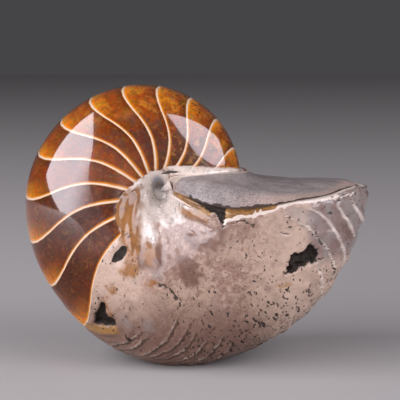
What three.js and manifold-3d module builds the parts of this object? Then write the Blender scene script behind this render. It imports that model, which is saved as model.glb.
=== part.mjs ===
// A polished fossil nautilus that stands on its keel: a coiled shell whose early chambers are
// ground down to their amber calcite, and the grey stone that fills its living chamber.
// Millimetres, +Z up, +X towards the tip of the lip, -Y the side with the larger damage.
// The origin is the centre of the flat ground on the keel.
import * as THREE from "three";
import { mergeVertices } from "three/addons/utils/BufferGeometryUtils.js";
import Module from "manifold-3d";

const wasm = await Module();
wasm.setup();
const radians = THREE.MathUtils.degToRad;
const smoothstep = THREE.MathUtils.smoothstep;
const lerp = THREE.MathUtils.lerp;

// Driving dimensions of the coil
const VENTER_RADII = [35.4, 37.4, 40.8, 44.9, 48.9, 53.4, 58.6, 62.9, 68.8, 77.6, 81.8, 86.2, 90.8];
const RADIUS_STEP = Math.PI / 6;
const AXIS_HEIGHT = 76.9;
const AXIS_BEHIND_FOOT = 10;
const TURN = 2 * Math.PI;
const WHORL_GROWTH = VENTER_RADII[12] / VENTER_RADII[0];

// The whorl's cross-section, as shares of the venter radius
const HALF_WIDTH = 0.475;
const WIDEST_AT = 0.42;
const SEAM_AT = 0.045;
const SEAM_HEIGHT = 0.295;
const FLANK_FULLNESS = 2.2;
const PIT_FLOOR = 6.5;

// The share of a half section, from the venter, at which each of its stretches ends
const FLANK_END = 0.55;
const WALL_END = 0.9;

// Heights above the coiling axis of the lip's outer edge and of its inner edge, each at a side
// from -1 in the near umbilicus through 0 at the tip to 1 in the far umbilicus
const LIP_HEIGHTS = [
  [-1, 2.2], [-0.86, 1.6], [-0.76, -0.3], [-0.7, -2.5], [-0.62, -5.8], [-0.55, -5.6],
  [-0.48, -2.5], [-0.42, -0.9], [-0.36, -0.6], [-0.3, 0.5], [-0.24, 2.3], [-0.18, 3.2],
  [-0.08, 1.8], [0, 1.1], [0.08, 0.5], [0.24, 0.7], [0.36, -0.5], [0.48, -2.6], [0.55, -5],
  [0.62, -5.4], [0.7, -2.6], [0.76, -0.4], [0.86, 1.5], [1, 2.2],
];
const EDGE_HEIGHTS = [
  [-1, 2.4], [-0.86, 2.1], [-0.76, 0.4], [-0.7, -1.8], [-0.62, -3.5], [-0.55, -3.8],
  [-0.48, -2.1], [-0.42, -0.5], [-0.36, 0.3], [-0.3, 1.3], [-0.24, 2.9], [-0.18, 3.5],
  [-0.08, 2.2], [0, 1.5], [0.08, 0.9], [0.24, 1.1], [0.36, -0.1], [0.48, -2.2], [0.55, -3.8],
  [0.62, -3.5], [0.7, -1.8], [0.76, 0.3], [0.86, 2], [1, 2.4],
];

// Heights of the line where the stone meets the older whorl, at shares from its venter
const CONTACT_HEIGHTS = [[0, 7.3], [0.25, 8], [0.4, 8], [0.62, 7.4], [0.78, 4.6], [0.9, 1.2], [1, 0.4]];

// The living chamber and the stone in it
const WALL = 2.2;
const TIP_THINNING = 0.6;
const DORSAL_WALL = 1.2;
const GAP = 0.35;
const STONE_END = 0.98;
const STONE_EDGE_ROUND = 0.8;
const DOME_Z = 3.6;
const DOME_FALL = 0.0042;
const DOME_RUN_AT_TIP = 0.14;
const DOME_RUN_AT_FLANK = 0.5;
const OUTER_REACH = 0.84;
const DORSAL_REACH = 0.7;
const HORN_CLEARANCE = 0.09;
const LAST_SEPTUM = radians(243);
const SEPTUM_BOW = radians(9);

// Growth ridges round the keel of the living chamber
const RIDGE_HEIGHT = 0.75;
const RIDGE_SWEEP = radians(27);
const RIDGE_REACH = 0.42;
const ROWS_PER_RIDGE = 3;

// Holes through the skin: corners as degrees of growth and shares of the half section, and how
// far the hole goes in. Side -1 is the near flank.
const HOLES = [
  {
    side: -1,
    depth: 6,
    corners: [[242.8, 0.348], [242.5, 0.267], [244.5, 0.208], [250.8, 0.282], [251, 0.322], [246.8, 0.332]],
  },
  {
    side: -1,
    depth: 3,
    corners: [[235, 0.588], [231.8, 0.57], [231.5, 0.545], [233.5, 0.52], [236.6, 0.516], [239.5, 0.54], [239.2, 0.572]],
  },
  {
    side: -1,
    depth: 4.5,
    corners: [
      [343.2, 0.338], [341.8, 0.312], [337.5, 0.282], [334.2, 0.332], [330.2, 0.355],
      [330, 0.373], [334, 0.383], [337.5, 0.385], [339.5, 0.362], [342.2, 0.36],
    ],
  },
  {
    side: 1,
    depth: 3.5,
    corners: [[298, 0.3], [295, 0.35], [291, 0.36], [289.5, 0.33], [292.5, 0.3], [295.5, 0.28]],
  },
];

// The chip out of the outer layer below the lip
const CHIP = {
  side: -1,
  depth: 1.1,
  corners: [[356, 0.7], [349.5, 0.668], [347.8, 0.645], [339.2, 0.612], [345.6, 0.594], [351, 0.6], [357, 0.64]],
};

// Mesh density
const EARLY_STEPS = 26;
const LATE_STEPS = 63;
const SIDE_STEPS = 32;
const DEPTHS = [0, 0.01, 0.1, 0.21, 0.32, 0.43, 0.54, 0.65, 0.76, 0.88, 1];
const FACE_STEPS = 8;

// The value at a position of a curve given as [position, value] corners joined by straight lines
function curve(corners, at) {
  const next = Math.max(1, corners.findIndex(([position]) => position >= at));
  const [low, from] = corners[next - 1];
  const [high, to] = corners[next];
  return lerp(from, to, (at - low) / (high - low));
}

// Distance from the coiling axis to the venter: a smooth curve through the measured radii,
// continued inwards and outwards by the growth of one whole turn.
function venterRadius(angle) {
  if (angle < 0) return venterRadius(angle + TURN) / WHORL_GROWTH;
  if (angle >= TURN) return venterRadius(angle - TURN) * WHORL_GROWTH;
  const place = angle / RADIUS_STEP;
  const index = Math.floor(place);
  const share = place - index;
  const logs = [-1, 0, 1, 2].map((offset) => {
    const key = index + offset;
    if (key < 0) return Math.log(VENTER_RADII[key + 12] / WHORL_GROWTH);
    if (key > 12) return Math.log(VENTER_RADII[key - 12] * WHORL_GROWTH);
    return Math.log(VENTER_RADII[key]);
  });
  const [a, b, c, d] = logs;
  const slopeIn = (c - a) / 2;
  const slopeOut = (d - b) / 2;
  const square = share * share;
  const cube = square * share;
  return Math.exp(
    (2 * cube - 3 * square + 1) * b +
      (cube - 2 * square + share) * slopeIn +
      (3 * square - 2 * cube) * c +
      (cube - square) * slopeOut,
  );
}

// One point of the whorl's section. Side runs from -1 in the near umbilicus through 0 on the
// venter to 1 in the far umbilicus; the result is the distance from the axis and the offset in Y.
function sectionPoint(angle, side) {
  const radius = venterRadius(angle);
  const share = Math.abs(side);
  const sign = Math.sign(side);
  const power = 2 / FLANK_FULLNESS;
  if (share <= FLANK_END) {
    const turn = ((share / FLANK_END) * Math.PI) / 2;
    const out = WIDEST_AT + (1 - WIDEST_AT) * Math.cos(turn) ** power;
    return { r: radius * out, y: sign * radius * HALF_WIDTH * Math.sin(turn) ** power };
  }
  if (share <= WALL_END) {
    const turn = (((share - FLANK_END) / (WALL_END - FLANK_END)) * Math.PI) / 2;
    const out = WIDEST_AT - (WIDEST_AT - SEAM_AT) * Math.sin(turn);
    const high = SEAM_HEIGHT + (1 - SEAM_HEIGHT) * Math.cos(turn);
    return { r: radius * out, y: sign * radius * HALF_WIDTH * high };
  }
  const rest = (1 - share) / (1 - WALL_END);
  const seam = radius * HALF_WIDTH * SEAM_HEIGHT;
  return { r: radius * SEAM_AT * rest, y: sign * lerp(PIT_FLOOR, seam, rest * rest) };
}

function place(angle, r, y) {
  return new THREE.Vector3(r * Math.cos(angle), y, r * Math.sin(angle));
}

// The outside of the shell, raised by a share of the growth ridges' height
function skinPoint(angle, side, ridge) {
  const { r, y } = sectionPoint(angle, side);
  const radius = venterRadius(angle);
  const onKeel = 1 - smoothstep(Math.abs(side), RIDGE_REACH * 0.5, RIDGE_REACH);
  const lift = (RIDGE_HEIGHT * ridge * onKeel) / (radius * HALF_WIDTH);
  const centre = WIDEST_AT * radius;
  return place(angle, r + (r - centre) * lift, y * (1 + lift));
}

// The skin moved inwards by a wall's thickness, towards the middle of the whorl's section
function wallPoint(angle, side, inset) {
  const { r, y } = sectionPoint(angle, side);
  const radius = venterRadius(angle);
  const centre = WIDEST_AT * radius;
  const shrink = 1 - inset / (radius * HALF_WIDTH);
  return place(angle, centre + (r - centre) * shrink, y * shrink);
}

function angleAtHeight(r, z) {
  return Math.asin(THREE.MathUtils.clamp(z / Math.max(r, 1e-6), -0.8, 0.8));
}

function endAngle(heights, side) {
  return TURN + angleAtHeight(sectionPoint(TURN, side).r, curve(heights, side));
}

function contactAngle(side) {
  return angleAtHeight(sectionPoint(0.2, side).r, curve(CONTACT_HEIGHTS, Math.abs(side)));
}

// The growth angle of a grid line: even turns between the contact line and the lip, bent to
// follow each of them near its own end and swept back over the keel of the living chamber
function skinAngle(share, side) {
  const start = contactAngle(side);
  const end = endAngle(LIP_HEIGHTS, side) - TURN;
  const onLiving = smoothstep(share, 0.6, 0.72) * (1 - smoothstep(share, 0.84, 1));
  const onKeel = Math.max(0, 1 - Math.abs(side) / FLANK_END) ** 2;
  return (
    share * TURN + start * (1 - share) ** 5 + end * share ** 8 - RIDGE_SWEEP * onLiving * onKeel
  );
}

// Triangles of a grid of points; the grid's rows run along the coil and its columns across it
function quads(faces, at, rows, columns, flip = false) {
  for (let row = 0; row < rows; row++) {
    for (let column = 0; column < columns; column++) {
      const corners = [
        at(row, column),
        at(row + 1, column),
        at(row + 1, column + 1),
        at(row, column + 1),
      ];
      if (flip) corners.reverse();
      faces.push(corners[0], corners[1], corners[2], corners[0], corners[2], corners[3]);
    }
  }
}

function closedGeometry(points, faces) {
  const geometry = new THREE.BufferGeometry();
  const flat = new Float32Array(points.flatMap((p) => [p.x, p.y, p.z]));
  geometry.setAttribute("position", new THREE.BufferAttribute(flat, 3));
  geometry.setIndex(faces);
  return geometry;
}

function solidOf(geometry) {
  const bare = geometry.index ? geometry.toNonIndexed() : geometry.clone();
  bare.deleteAttribute("normal");
  bare.deleteAttribute("uv");
  const merged = mergeVertices(bare, 1e-4);
  const triVerts = new Uint32Array(merged.index.array);
  const vertProperties = merged.attributes.position.array;
  return new wasm.Manifold(new wasm.Mesh({ numProp: 3, vertProperties, triVerts }));
}

function geometryOf(solid) {
  const mesh = solid.getMesh();
  const geometry = new THREE.BufferGeometry();
  geometry.setAttribute("position", new THREE.BufferAttribute(mesh.vertProperties, 3));
  geometry.setIndex(new THREE.BufferAttribute(mesh.triVerts, 1));
  return geometry;
}

// One ring round the living chamber at a depth from 0 at the aperture to 1 at the last septum.
// It follows the inside of the outer wall, which thins towards the umbilicus, from the near to the
// far side and comes back over the older whorl. Clearance draws it in on all sides.
function chamberRing(depth, clearance) {
  const ring = [];
  const side = (column) => (2 * column) / SIDE_STEPS - 1;
  const bow = (column) => SEPTUM_BOW * depth * (1 - side(column) ** 2);
  for (let column = 0; column <= SIDE_STEPS; column++) {
    const reach = side(column) * OUTER_REACH;
    const angle = lerp(endAngle(EDGE_HEIGHTS, reach), LAST_SEPTUM, depth) - bow(column);
    const wall = WALL * (1 - TIP_THINNING * smoothstep(Math.abs(reach), 0.55, 0.8));
    ring.push(wallPoint(angle, reach, wall + clearance));
  }
  for (let column = SIDE_STEPS - 1; column > 0; column--) {
    const reach = side(column) * (DORSAL_REACH - clearance * HORN_CLEARANCE);
    const angle = lerp(contactAngle(reach), LAST_SEPTUM - TURN, depth) - bow(column);
    ring.push(wallPoint(angle, reach, -DORSAL_WALL - clearance));
  }
  return ring;
}

// Closes a ring with strips that join each point of its outer half to the one across from it
function capFaces(faces, first, flip) {
  const count = 2 * SIDE_STEPS;
  const across = (column) => first + ((count - column) % count);
  for (let column = 0; column < SIDE_STEPS; column++) {
    const corners = [first + column, first + column + 1, across(column + 1), across(column)];
    if (flip) corners.reverse();
    faces.push(corners[0], corners[1], corners[2], corners[0], corners[2], corners[3]);
  }
}

// The shell: its skin from the contact line round to the lip, the lip's edge, and the hollow
// of the living chamber down to the last septum.
function shellSolid() {
  const points = [];
  const faces = [];
  const rows = EARLY_STEPS + LATE_STEPS;
  const septumShare = LAST_SEPTUM / TURN;
  for (let row = 0; row <= rows; row++) {
    const late = row - EARLY_STEPS;
    const share =
      late < 0 ? (septumShare * row) / EARLY_STEPS : lerp(septumShare, 1, late / LATE_STEPS);
    const ridge = late > 0 ? (late % ROWS_PER_RIDGE) / (ROWS_PER_RIDGE - 1) : 0;
    for (let column = 0; column <= SIDE_STEPS; column++) {
      const side = (2 * column) / SIDE_STEPS - 1;
      points.push(skinPoint(skinAngle(share, side), side, ridge));
    }
  }
  const width = SIDE_STEPS + 1;
  quads(faces, (row, column) => row * width + column, rows, SIDE_STEPS, true);
  const firstRing = points.length;
  const around = 2 * SIDE_STEPS;
  for (const depth of DEPTHS) points.push(...chamberRing(depth, 0));
  const rim = (column) => (column <= SIDE_STEPS ? rows * width + column : around - column);
  const edge = (row, column) => {
    const wrapped = column % around;
    return row === 0 ? rim(wrapped) : firstRing + wrapped;
  };
  quads(faces, edge, 1, around, true);
  const wall = (row, column) => firstRing + row * around + (column % around);
  quads(faces, wall, DEPTHS.length - 1, around, true);
  capFaces(faces, firstRing + (DEPTHS.length - 1) * around, false);
  return solidOf(closedGeometry(points, faces));
}

// A point of the stone's top between its outer edge and the older whorl: a low dome over the
// width, met quickly behind the tip and slowly behind the flanks, and drawn up at the older whorl.
function stoneFacePoint(outer, inner, side, share) {
  const point = outer.clone().lerp(inner, share);
  const flank = Math.abs(side) * OUTER_REACH;
  const run = lerp(DOME_RUN_AT_TIP, DOME_RUN_AT_FLANK, smoothstep(flank, 0.04, 0.42));
  const dome = DOME_Z - DOME_FALL * point.y ** 2;
  const crest = lerp(dome, inner.z * 0.8, smoothstep(flank, 0.45, 0.72));
  const rise = 1 - (1 - Math.min(share / run, 1)) ** 2;
  point.z = lerp(outer.z, crest, rise) + (inner.z - crest) * share ** 8;
  return point;
}

function stoneSolid() {
  const points = [];
  const faces = [];
  const around = 2 * SIDE_STEPS;
  for (const depth of DEPTHS) {
    points.push(...chamberRing(depth * STONE_END, depth === 0 ? GAP + STONE_EDGE_ROUND : GAP));
  }
  const wall = (row, column) => row * around + (column % around);
  quads(faces, wall, DEPTHS.length - 1, around, false);
  capFaces(faces, (DEPTHS.length - 1) * around, true);
  const faceStart = points.length;
  for (let column = 1; column < SIDE_STEPS; column++) {
    for (let step = 1; step < FACE_STEPS; step++) {
      const share = (step / FACE_STEPS) ** 1.5;
      const side = (2 * column) / SIDE_STEPS - 1;
      points.push(stoneFacePoint(points[column], points[around - column], side, share));
    }
  }
  const face = (row, column) => {
    if (row === 0) return column % around;
    if (row === FACE_STEPS) return (around - column) % around;
    if (column === 0 || column === SIDE_STEPS) return column;
    return faceStart + (column - 1) * (FACE_STEPS - 1) + row - 1;
  };
  quads(faces, face, FACE_STEPS, SIDE_STEPS, true);
  return solidOf(closedGeometry(points, faces));
}

// A ragged plug that narrows as it goes in: loops round the corners above the skin, below it
// and at full depth, each closed by a fan
function holeCutter({ side, depth, corners }) {
  const middle = corners
    .reduce((sum, corner) => [sum[0] + corner[0], sum[1] + corner[1]], [0, 0])
    .map((total) => total / corners.length);
  const points = [];
  const faces = [];
  const loops = [
    { inset: -1.5, size: 1.1 },
    { inset: depth * 0.55, size: 0.9 },
    { inset: depth, size: 0.6 },
  ];
  for (const { inset, size } of loops) {
    for (const [degrees, share] of corners) {
      const angle = radians(lerp(middle[0], degrees, size));
      points.push(wallPoint(angle, side * lerp(middle[1], share, size), inset));
    }
  }
  const count = corners.length;
  quads(faces, (row, column) => row * count + (column % count), loops.length - 1, count);
  for (const [loop, { inset }] of loops.entries()) {
    if (loop === 1) continue;
    const hub = points.length;
    points.push(wallPoint(radians(middle[0]), side * middle[1], inset));
    for (let column = 0; column < count; column++) {
      const here = loop * count + column;
      const next = loop * count + ((column + 1) % count);
      faces.push(...(loop === 0 ? [here, next, hub] : [next, here, hub]));
    }
  }
  const solid = solidOf(closedGeometry(points, faces));
  if (solid.volume() > 0) return solid;
  return solidOf(closedGeometry(points, faces.toReversed()));
}

// The flat on the keel, as everything below the ground the fossil rests on
const belowFoot = wasm.Manifold.cube([400, 400, 100], true).translate([0, 0, -AXIS_HEIGHT - 50]);
const cutters = HOLES.map(holeCutter);
const shell = shellSolid().subtract(
  wasm.Manifold.union([belowFoot, holeCutter(CHIP), ...cutters]),
);
const stone = stoneSolid().subtract(wasm.Manifold.union(cutters));

const SHELL_MATERIAL = new THREE.MeshStandardMaterial({
  color: 0xc9ada0,
  roughness: 0.35,
  metalness: 0,
});
const STONE_MATERIAL = new THREE.MeshStandardMaterial({
  color: 0x86828a,
  roughness: 0.6,
  metalness: 0,
});

const fossil = new THREE.Group();
fossil.position.set(-AXIS_BEHIND_FOOT, 0, AXIS_HEIGHT);
for (const [name, solid, material] of [
  ["shell", shell, SHELL_MATERIAL],
  ["stone_fill", stone, STONE_MATERIAL],
]) {
  const mesh = new THREE.Mesh(geometryOf(solid), material);
  mesh.name = name;
  fossil.add(mesh);
}

export default fossil;
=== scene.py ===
"""The looks of a polished fossil nautilus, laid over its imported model.

The shell and the stone in its living chamber are numpy surfaces along one coil, worked out in
millimetres in the row frame and written to the meshes in metres. What has shape, such as holes,
growth ridges and the chipped lip, moves the surface; what is only colour is a value stored on the
surface's points, which the finishes read.
"""

from __future__ import annotations

import logging
import math
from dataclasses import dataclass, field, replace
from enum import Enum, IntEnum
from functools import cached_property
from typing import Any, Sequence

import bpy
import numpy as np
from mathutils import Matrix, Vector

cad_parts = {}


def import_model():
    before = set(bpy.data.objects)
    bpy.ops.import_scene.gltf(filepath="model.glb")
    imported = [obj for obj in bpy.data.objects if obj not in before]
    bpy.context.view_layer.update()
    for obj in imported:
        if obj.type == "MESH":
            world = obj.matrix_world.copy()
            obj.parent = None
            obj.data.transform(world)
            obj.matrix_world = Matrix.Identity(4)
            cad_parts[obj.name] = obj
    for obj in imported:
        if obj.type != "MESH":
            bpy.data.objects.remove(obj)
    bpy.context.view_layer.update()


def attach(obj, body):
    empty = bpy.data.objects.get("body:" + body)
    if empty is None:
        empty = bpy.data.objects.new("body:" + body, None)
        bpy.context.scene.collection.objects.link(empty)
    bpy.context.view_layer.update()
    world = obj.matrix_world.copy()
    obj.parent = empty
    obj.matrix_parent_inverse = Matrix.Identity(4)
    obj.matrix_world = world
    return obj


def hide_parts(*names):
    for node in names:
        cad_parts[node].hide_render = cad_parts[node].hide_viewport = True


LOG = logging.getLogger("nautilus")
TURN = 2 * math.pi
MM = 0.001
FAR_OFF = 99.0
SMALL = 1e-6
TINY = 1e-9

Colour = tuple[float, float, float, float]
Corners = tuple[tuple[float, float], ...]


class Seed(IntEnum):
    """Which waves ripple() sums, one number for each use."""

    RIDGE_PLACE = 5
    RIDGE_HEIGHT = 6
    TRACE_X = 11
    TRACE_Z = 12
    PATCH_X = 21
    PATCH_Z = 22
    SWELL = 31
    LUMP = 32
    HOLE_FLOOR = 41
    CREAM_STRIP = 51
    UMBILICUS = 52
    CONE = 53
    STONE_TOP = 61
    PARTING = 71


def paint(code: str) -> Colour:
    """Turns a screen colour into the linear colour that a shader takes.

    Args:
        code: six hexadecimal digits, red, green and blue.

    Returns:
        The linear red, green, blue and an alpha of 1.
    """
    shares = [int(code[i : i + 2], 16) / 255 for i in (0, 2, 4)]
    linear = [s / 12.92 if s <= 0.04045 else ((s + 0.055) / 1.055) ** 2.4 for s in shares]
    return (linear[0], linear[1], linear[2], 1.0)


def ease(value: np.ndarray, low: float, high: float) -> np.ndarray:
    """A smooth step: with t the share of the way from low to high, 3 t squared less 2 t cubed.

    Args:
        value: the numbers.
        low: where the step is 0.
        high: where it is 1; it may be the smaller of the two.

    Returns:
        Shares from 0 to 1.
    """
    share = np.clip((value - low) / (high - low), 0.0, 1.0)
    return share * share * (3.0 - 2.0 * share)


def ripple(points: np.ndarray, size: float, seed: int, waves: int = 24) -> np.ndarray:
    """Uneven waves in space: plane waves of random direction, length and phase, summed.

    Their lengths are those of frequencies 0.6 to 1.5 times that of the mean length.

    Args:
        points: places in millimetres, with x, y and z last.
        size: the waves' mean length in millimetres.
        seed: picks the waves.
        waves: how many are summed.

    Returns:
        Heights about 0 with a spread of about 1.
    """
    rng = np.random.default_rng(int(seed))
    ways = rng.normal(size=(waves, 3))
    ways /= np.linalg.norm(ways, axis=1, keepdims=True)
    ways *= (TURN / size) * rng.uniform(0.6, 1.5, size=(waves, 1))
    phases = rng.uniform(0, TURN, waves)
    return np.sin(points @ ways.T + phases).sum(axis=-1) * math.sqrt(2 / waves)


@dataclass(frozen=True)
class Coil:
    """The spiral that the shell grew along, in millimetres and radians.

    Growth is the angle about the coiling axis from +X over the top; side runs across the whorl
    from -1 in the near umbilicus through 0 on the keel to 1 in the far umbilicus. Half_width,
    widest_at and seam_at are shares of the keel's radius, seam_height is a share of the half
    width, and flank_end and wall_end are sides.
    """

    keel_radii: tuple[float, ...] = (
        35.4, 37.4, 40.8, 44.9, 48.9, 53.4, 58.6, 62.9, 68.8, 77.6, 81.8, 86.2, 90.8,
    )
    axis_x: float = -10.0
    axis_z: float = 76.9
    half_width: float = 0.475
    widest_at: float = 0.42
    seam_at: float = 0.045
    seam_height: float = 0.295
    fullness: float = 2.2
    pit_floor: float = 10.6
    pit_softness: float = 3.0
    flank_end: float = 0.55
    wall_end: float = 0.9

    def radius(self, growth: np.ndarray) -> np.ndarray:
        """Distance from the axis to the keel.

        A smooth cubic curve through the logarithms of the keel radii, which are spaced evenly
        over a turn, carried on inwards and outwards by the growth of one whole turn.

        Args:
            growth: angles about the axis.

        Returns:
            The distances, in the shape of growth.
        """
        spans = len(self.keel_radii) - 1
        turns = np.floor(growth / TURN)
        place = (growth - turns * TURN) / TURN * spans
        keys = np.log(np.array(self.keel_radii))
        whole = keys[spans] - keys[0]
        keys = np.concatenate([keys[:-1] - whole, keys, keys[1:] + whole])
        index = np.floor(place).astype(int)
        share = place - index
        before, start, end, after = (keys[index + spans + step] for step in (-1, 0, 1, 2))
        square, cube = share**2, share**3
        log_radius = (
            (2 * cube - 3 * square + 1) * start
            + (cube - 2 * square + share) * (end - before) / 2
            + (3 * square - 2 * cube) * end
            + (cube - square) * (after - start) / 2
        )
        return np.exp(log_radius + whole * turns)

    def section(self, growth: np.ndarray, side: np.ndarray) -> tuple[np.ndarray, np.ndarray]:
        """One point of the whorl's section.

        From the keel: a superellipse down the flank to the widest place, a quarter ellipse
        down the wall of the umbilicus, then a shallow cone to its floor, all of it filled
        smoothly up to the level of that floor: half the sum of the depth, the floor and the
        root of their squared difference plus a softness.

        Args:
            growth: angles about the axis.
            side: places across the whorl, from -1 to 1.

        Returns:
            The distance from the axis, and the offset in Y.
        """
        radius = self.radius(growth)
        share, sign, power = np.abs(side), np.sign(side), 2 / self.fullness
        turn = np.clip(share / self.flank_end, 0, 1) * math.pi / 2
        flank_r = self.widest_at + (1 - self.widest_at) * np.cos(turn).clip(0) ** power
        flank_y = np.sin(turn) ** power
        turn = (share - self.flank_end) / (self.wall_end - self.flank_end)
        turn = np.clip(turn, 0, 1) * math.pi / 2
        wall_r = self.widest_at - (self.widest_at - self.seam_at) * np.sin(turn)
        wall_y = self.seam_height + (1 - self.seam_height) * np.cos(turn)
        rest = np.clip((1 - share) / (1 - self.wall_end), 0, 1)
        seam = radius * self.half_width * self.seam_height
        pit_r = radius * self.seam_at * rest
        pit_y = self.pit_floor + (seam - self.pit_floor) * rest**2
        on_flank, on_wall = share <= self.flank_end, share <= self.wall_end
        r = np.where(on_flank, flank_r * radius, np.where(on_wall, wall_r * radius, pit_r))
        width = radius * self.half_width
        deep = np.where(on_wall, wall_y * width, pit_y)
        apart = np.sqrt((deep - self.pit_floor) ** 2 + self.pit_softness)
        filled = (deep + self.pit_floor + apart) / 2
        return r, sign * np.where(on_flank, flank_y * width, filled)

    def place(self, growth: np.ndarray, r: np.ndarray, y: np.ndarray) -> np.ndarray:
        """Points in the row frame: the axis's place plus r times the cosine and sine of growth.

        Args:
            growth: angles about the axis.
            r: distances from the axis.
            y: offsets in Y.

        Returns:
            Points, with x, y and z last.
        """
        x = self.axis_x + r * np.cos(growth)
        z = self.axis_z + r * np.sin(growth)
        return np.stack([x, np.broadcast_to(y, x.shape), z], axis=-1)

    def inset(self, growth: np.ndarray, side: np.ndarray, depth: np.ndarray | float) -> np.ndarray:
        """The outside shrunk towards the middle of the whorl's section.

        Args:
            growth: angles about the axis.
            side: places across the whorl.
            depth: millimetres inwards at the widest place, negative for outwards.

        Returns:
            Points, with x, y and z last.
        """
        r, y = self.section(growth, side)
        radius = self.radius(growth)
        centre = self.widest_at * radius
        shrink = 1 - depth / (radius * self.half_width)
        return self.place(growth, centre + (r - centre) * shrink, y * shrink)


@dataclass(frozen=True)
class Mouth:
    """The broken lip of the living chamber and the line where its stone meets the older whorl.

    Heights are in millimetres above the coiling axis, each pair a side and its height.
    """

    coil: Coil = field(default_factory=Coil)
    lip: Corners = (
        (-1, 2.2), (-0.86, 1.6), (-0.76, -0.3), (-0.7, -2.5), (-0.62, -5.8), (-0.55, -5.6),
        (-0.48, -2.5), (-0.42, -0.9), (-0.36, -0.6), (-0.3, 0.5), (-0.24, 2.3), (-0.18, 3.2),
        (-0.08, 1.8), (0, 1.1), (0.08, 0.5), (0.24, 0.7), (0.36, -0.5), (0.48, -2.6), (0.55, -5),
        (0.62, -5.4), (0.7, -2.6), (0.76, -0.4), (0.86, 1.5), (1, 2.2),
    )
    edge: Corners = (
        (-1, 2.4), (-0.86, 2.1), (-0.76, 0.4), (-0.7, -1.8), (-0.62, -3.5), (-0.55, -3.8),
        (-0.48, -2.1), (-0.42, -0.5), (-0.36, 0.3), (-0.3, 1.3), (-0.24, 2.9), (-0.18, 3.5),
        (-0.08, 2.2), (0, 1.5), (0.08, 0.9), (0.24, 1.1), (0.36, -0.1), (0.48, -2.2), (0.55, -3.8),
        (0.62, -3.5), (0.7, -1.8), (0.76, 0.3), (0.86, 2), (1, 2.4),
    )
    contact: Corners = (
        (0, 7.3), (0.25, 8), (0.4, 8), (0.62, 7.4), (0.78, 4.6), (0.9, 1.2), (1, 0.4),
    )
    contact_turn: float = 0.2
    steepest: float = 0.8

    def _growth_at(self, turn: float, side: np.ndarray, height: np.ndarray) -> np.ndarray:
        """Growth, less whole turns, at a height: the arc sine of it over the radius near turn."""
        r, _ = self.coil.section(np.full_like(side, turn), side)
        return np.arcsin(np.clip(height / np.maximum(r, SMALL), -self.steepest, self.steepest))

    def lip_growth(self, side: np.ndarray) -> np.ndarray:
        """Growth of the lip's outer edge at each side, past one whole turn."""
        return self._growth_at(TURN, side, np.interp(side, *zip(*self.lip)))

    def edge_growth(self, side: np.ndarray) -> np.ndarray:
        """Growth of the lip's inner edge at each side, past one whole turn."""
        return self._growth_at(TURN, side, np.interp(side, *zip(*self.edge)))

    def contact_growth(self, side: np.ndarray) -> np.ndarray:
        """Growth, at each side, of the line where the stone meets the older whorl."""
        height = np.interp(np.abs(side), *zip(*self.contact))
        return self._growth_at(self.contact_turn, side, height)


@dataclass(frozen=True)
class Septa:
    """The chamber walls, as the lines in which they meet the polished skin.

    Degrees are the growth of each line a fifth of the way down the flank; sweep gives how far
    the same line runs ahead or behind at other sides.
    """

    degrees: tuple[float, ...] = (
        8.5, 29.7, 51.6, 71.9, 91.2, 109.9, 127.8, 145.5, 163.4, 183.1, 201.9, 221.2, 241.0,
    )
    sweep: Corners = (
        (0, -1.6), (0.06, -1.1), (0.12, 0.1), (0.2, 0), (0.26, -1.1), (0.32, -3.2), (0.38, -6.6),
        (0.44, -10.2), (0.5, -13.4), (0.56, -14.9), (0.62, -14.6), (0.7, -11.5), (0.8, -6.5),
        (1, 0),
    )
    sweep_steps: int = 201
    sweep_reach: int = 5

    def behind(self, side: np.ndarray) -> np.ndarray:
        """The sweep at a side: straight lines between its corners, smoothed by a running mean.

        Args:
            side: places across the whorl.

        Returns:
            How far the lines run behind there, in radians.
        """
        at, degrees = (np.array(column, float) for column in zip(*self.sweep))
        fine = np.linspace(0, 1, self.sweep_steps)
        rough = np.interp(fine, at, degrees)
        weights = np.hanning(2 * self.sweep_reach + 1)
        padded = np.pad(rough, self.sweep_reach, mode="edge")
        smooth = np.convolve(padded, weights / weights.sum(), mode="valid")
        return np.radians(np.interp(np.abs(side), fine, smooth))

    def number(self, growth: np.ndarray, side: np.ndarray) -> np.ndarray:
        """Chambers counted along the coil: linear between the lines, and on past the ends.

        Args:
            growth: angles about the axis.
            side: places across the whorl.

        Returns:
            The count, a whole number on each line.
        """
        lines = np.radians(np.array(self.degrees))
        level = growth - self.behind(side)
        steps = np.arange(len(lines))
        between = np.interp(level, lines, steps)
        after = (level - lines[-1]) / (lines[-1] - lines[-2])
        before = (level - lines[0]) / (lines[1] - lines[0])
        ends = np.where(level > lines[-1], steps[-1] + after, before)
        return np.where((level > lines[-1]) | (level < lines[0]), ends, between)

    def past_last(self, growth: np.ndarray, side: np.ndarray) -> np.ndarray:
        """Growth past the last line, negative on the chambers."""
        return growth - self.behind(side) - math.radians(self.degrees[-1])


class Flank(Enum):
    """The two flanks, by the sign of their Y."""

    NEAR = -1
    FAR = 1


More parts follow.
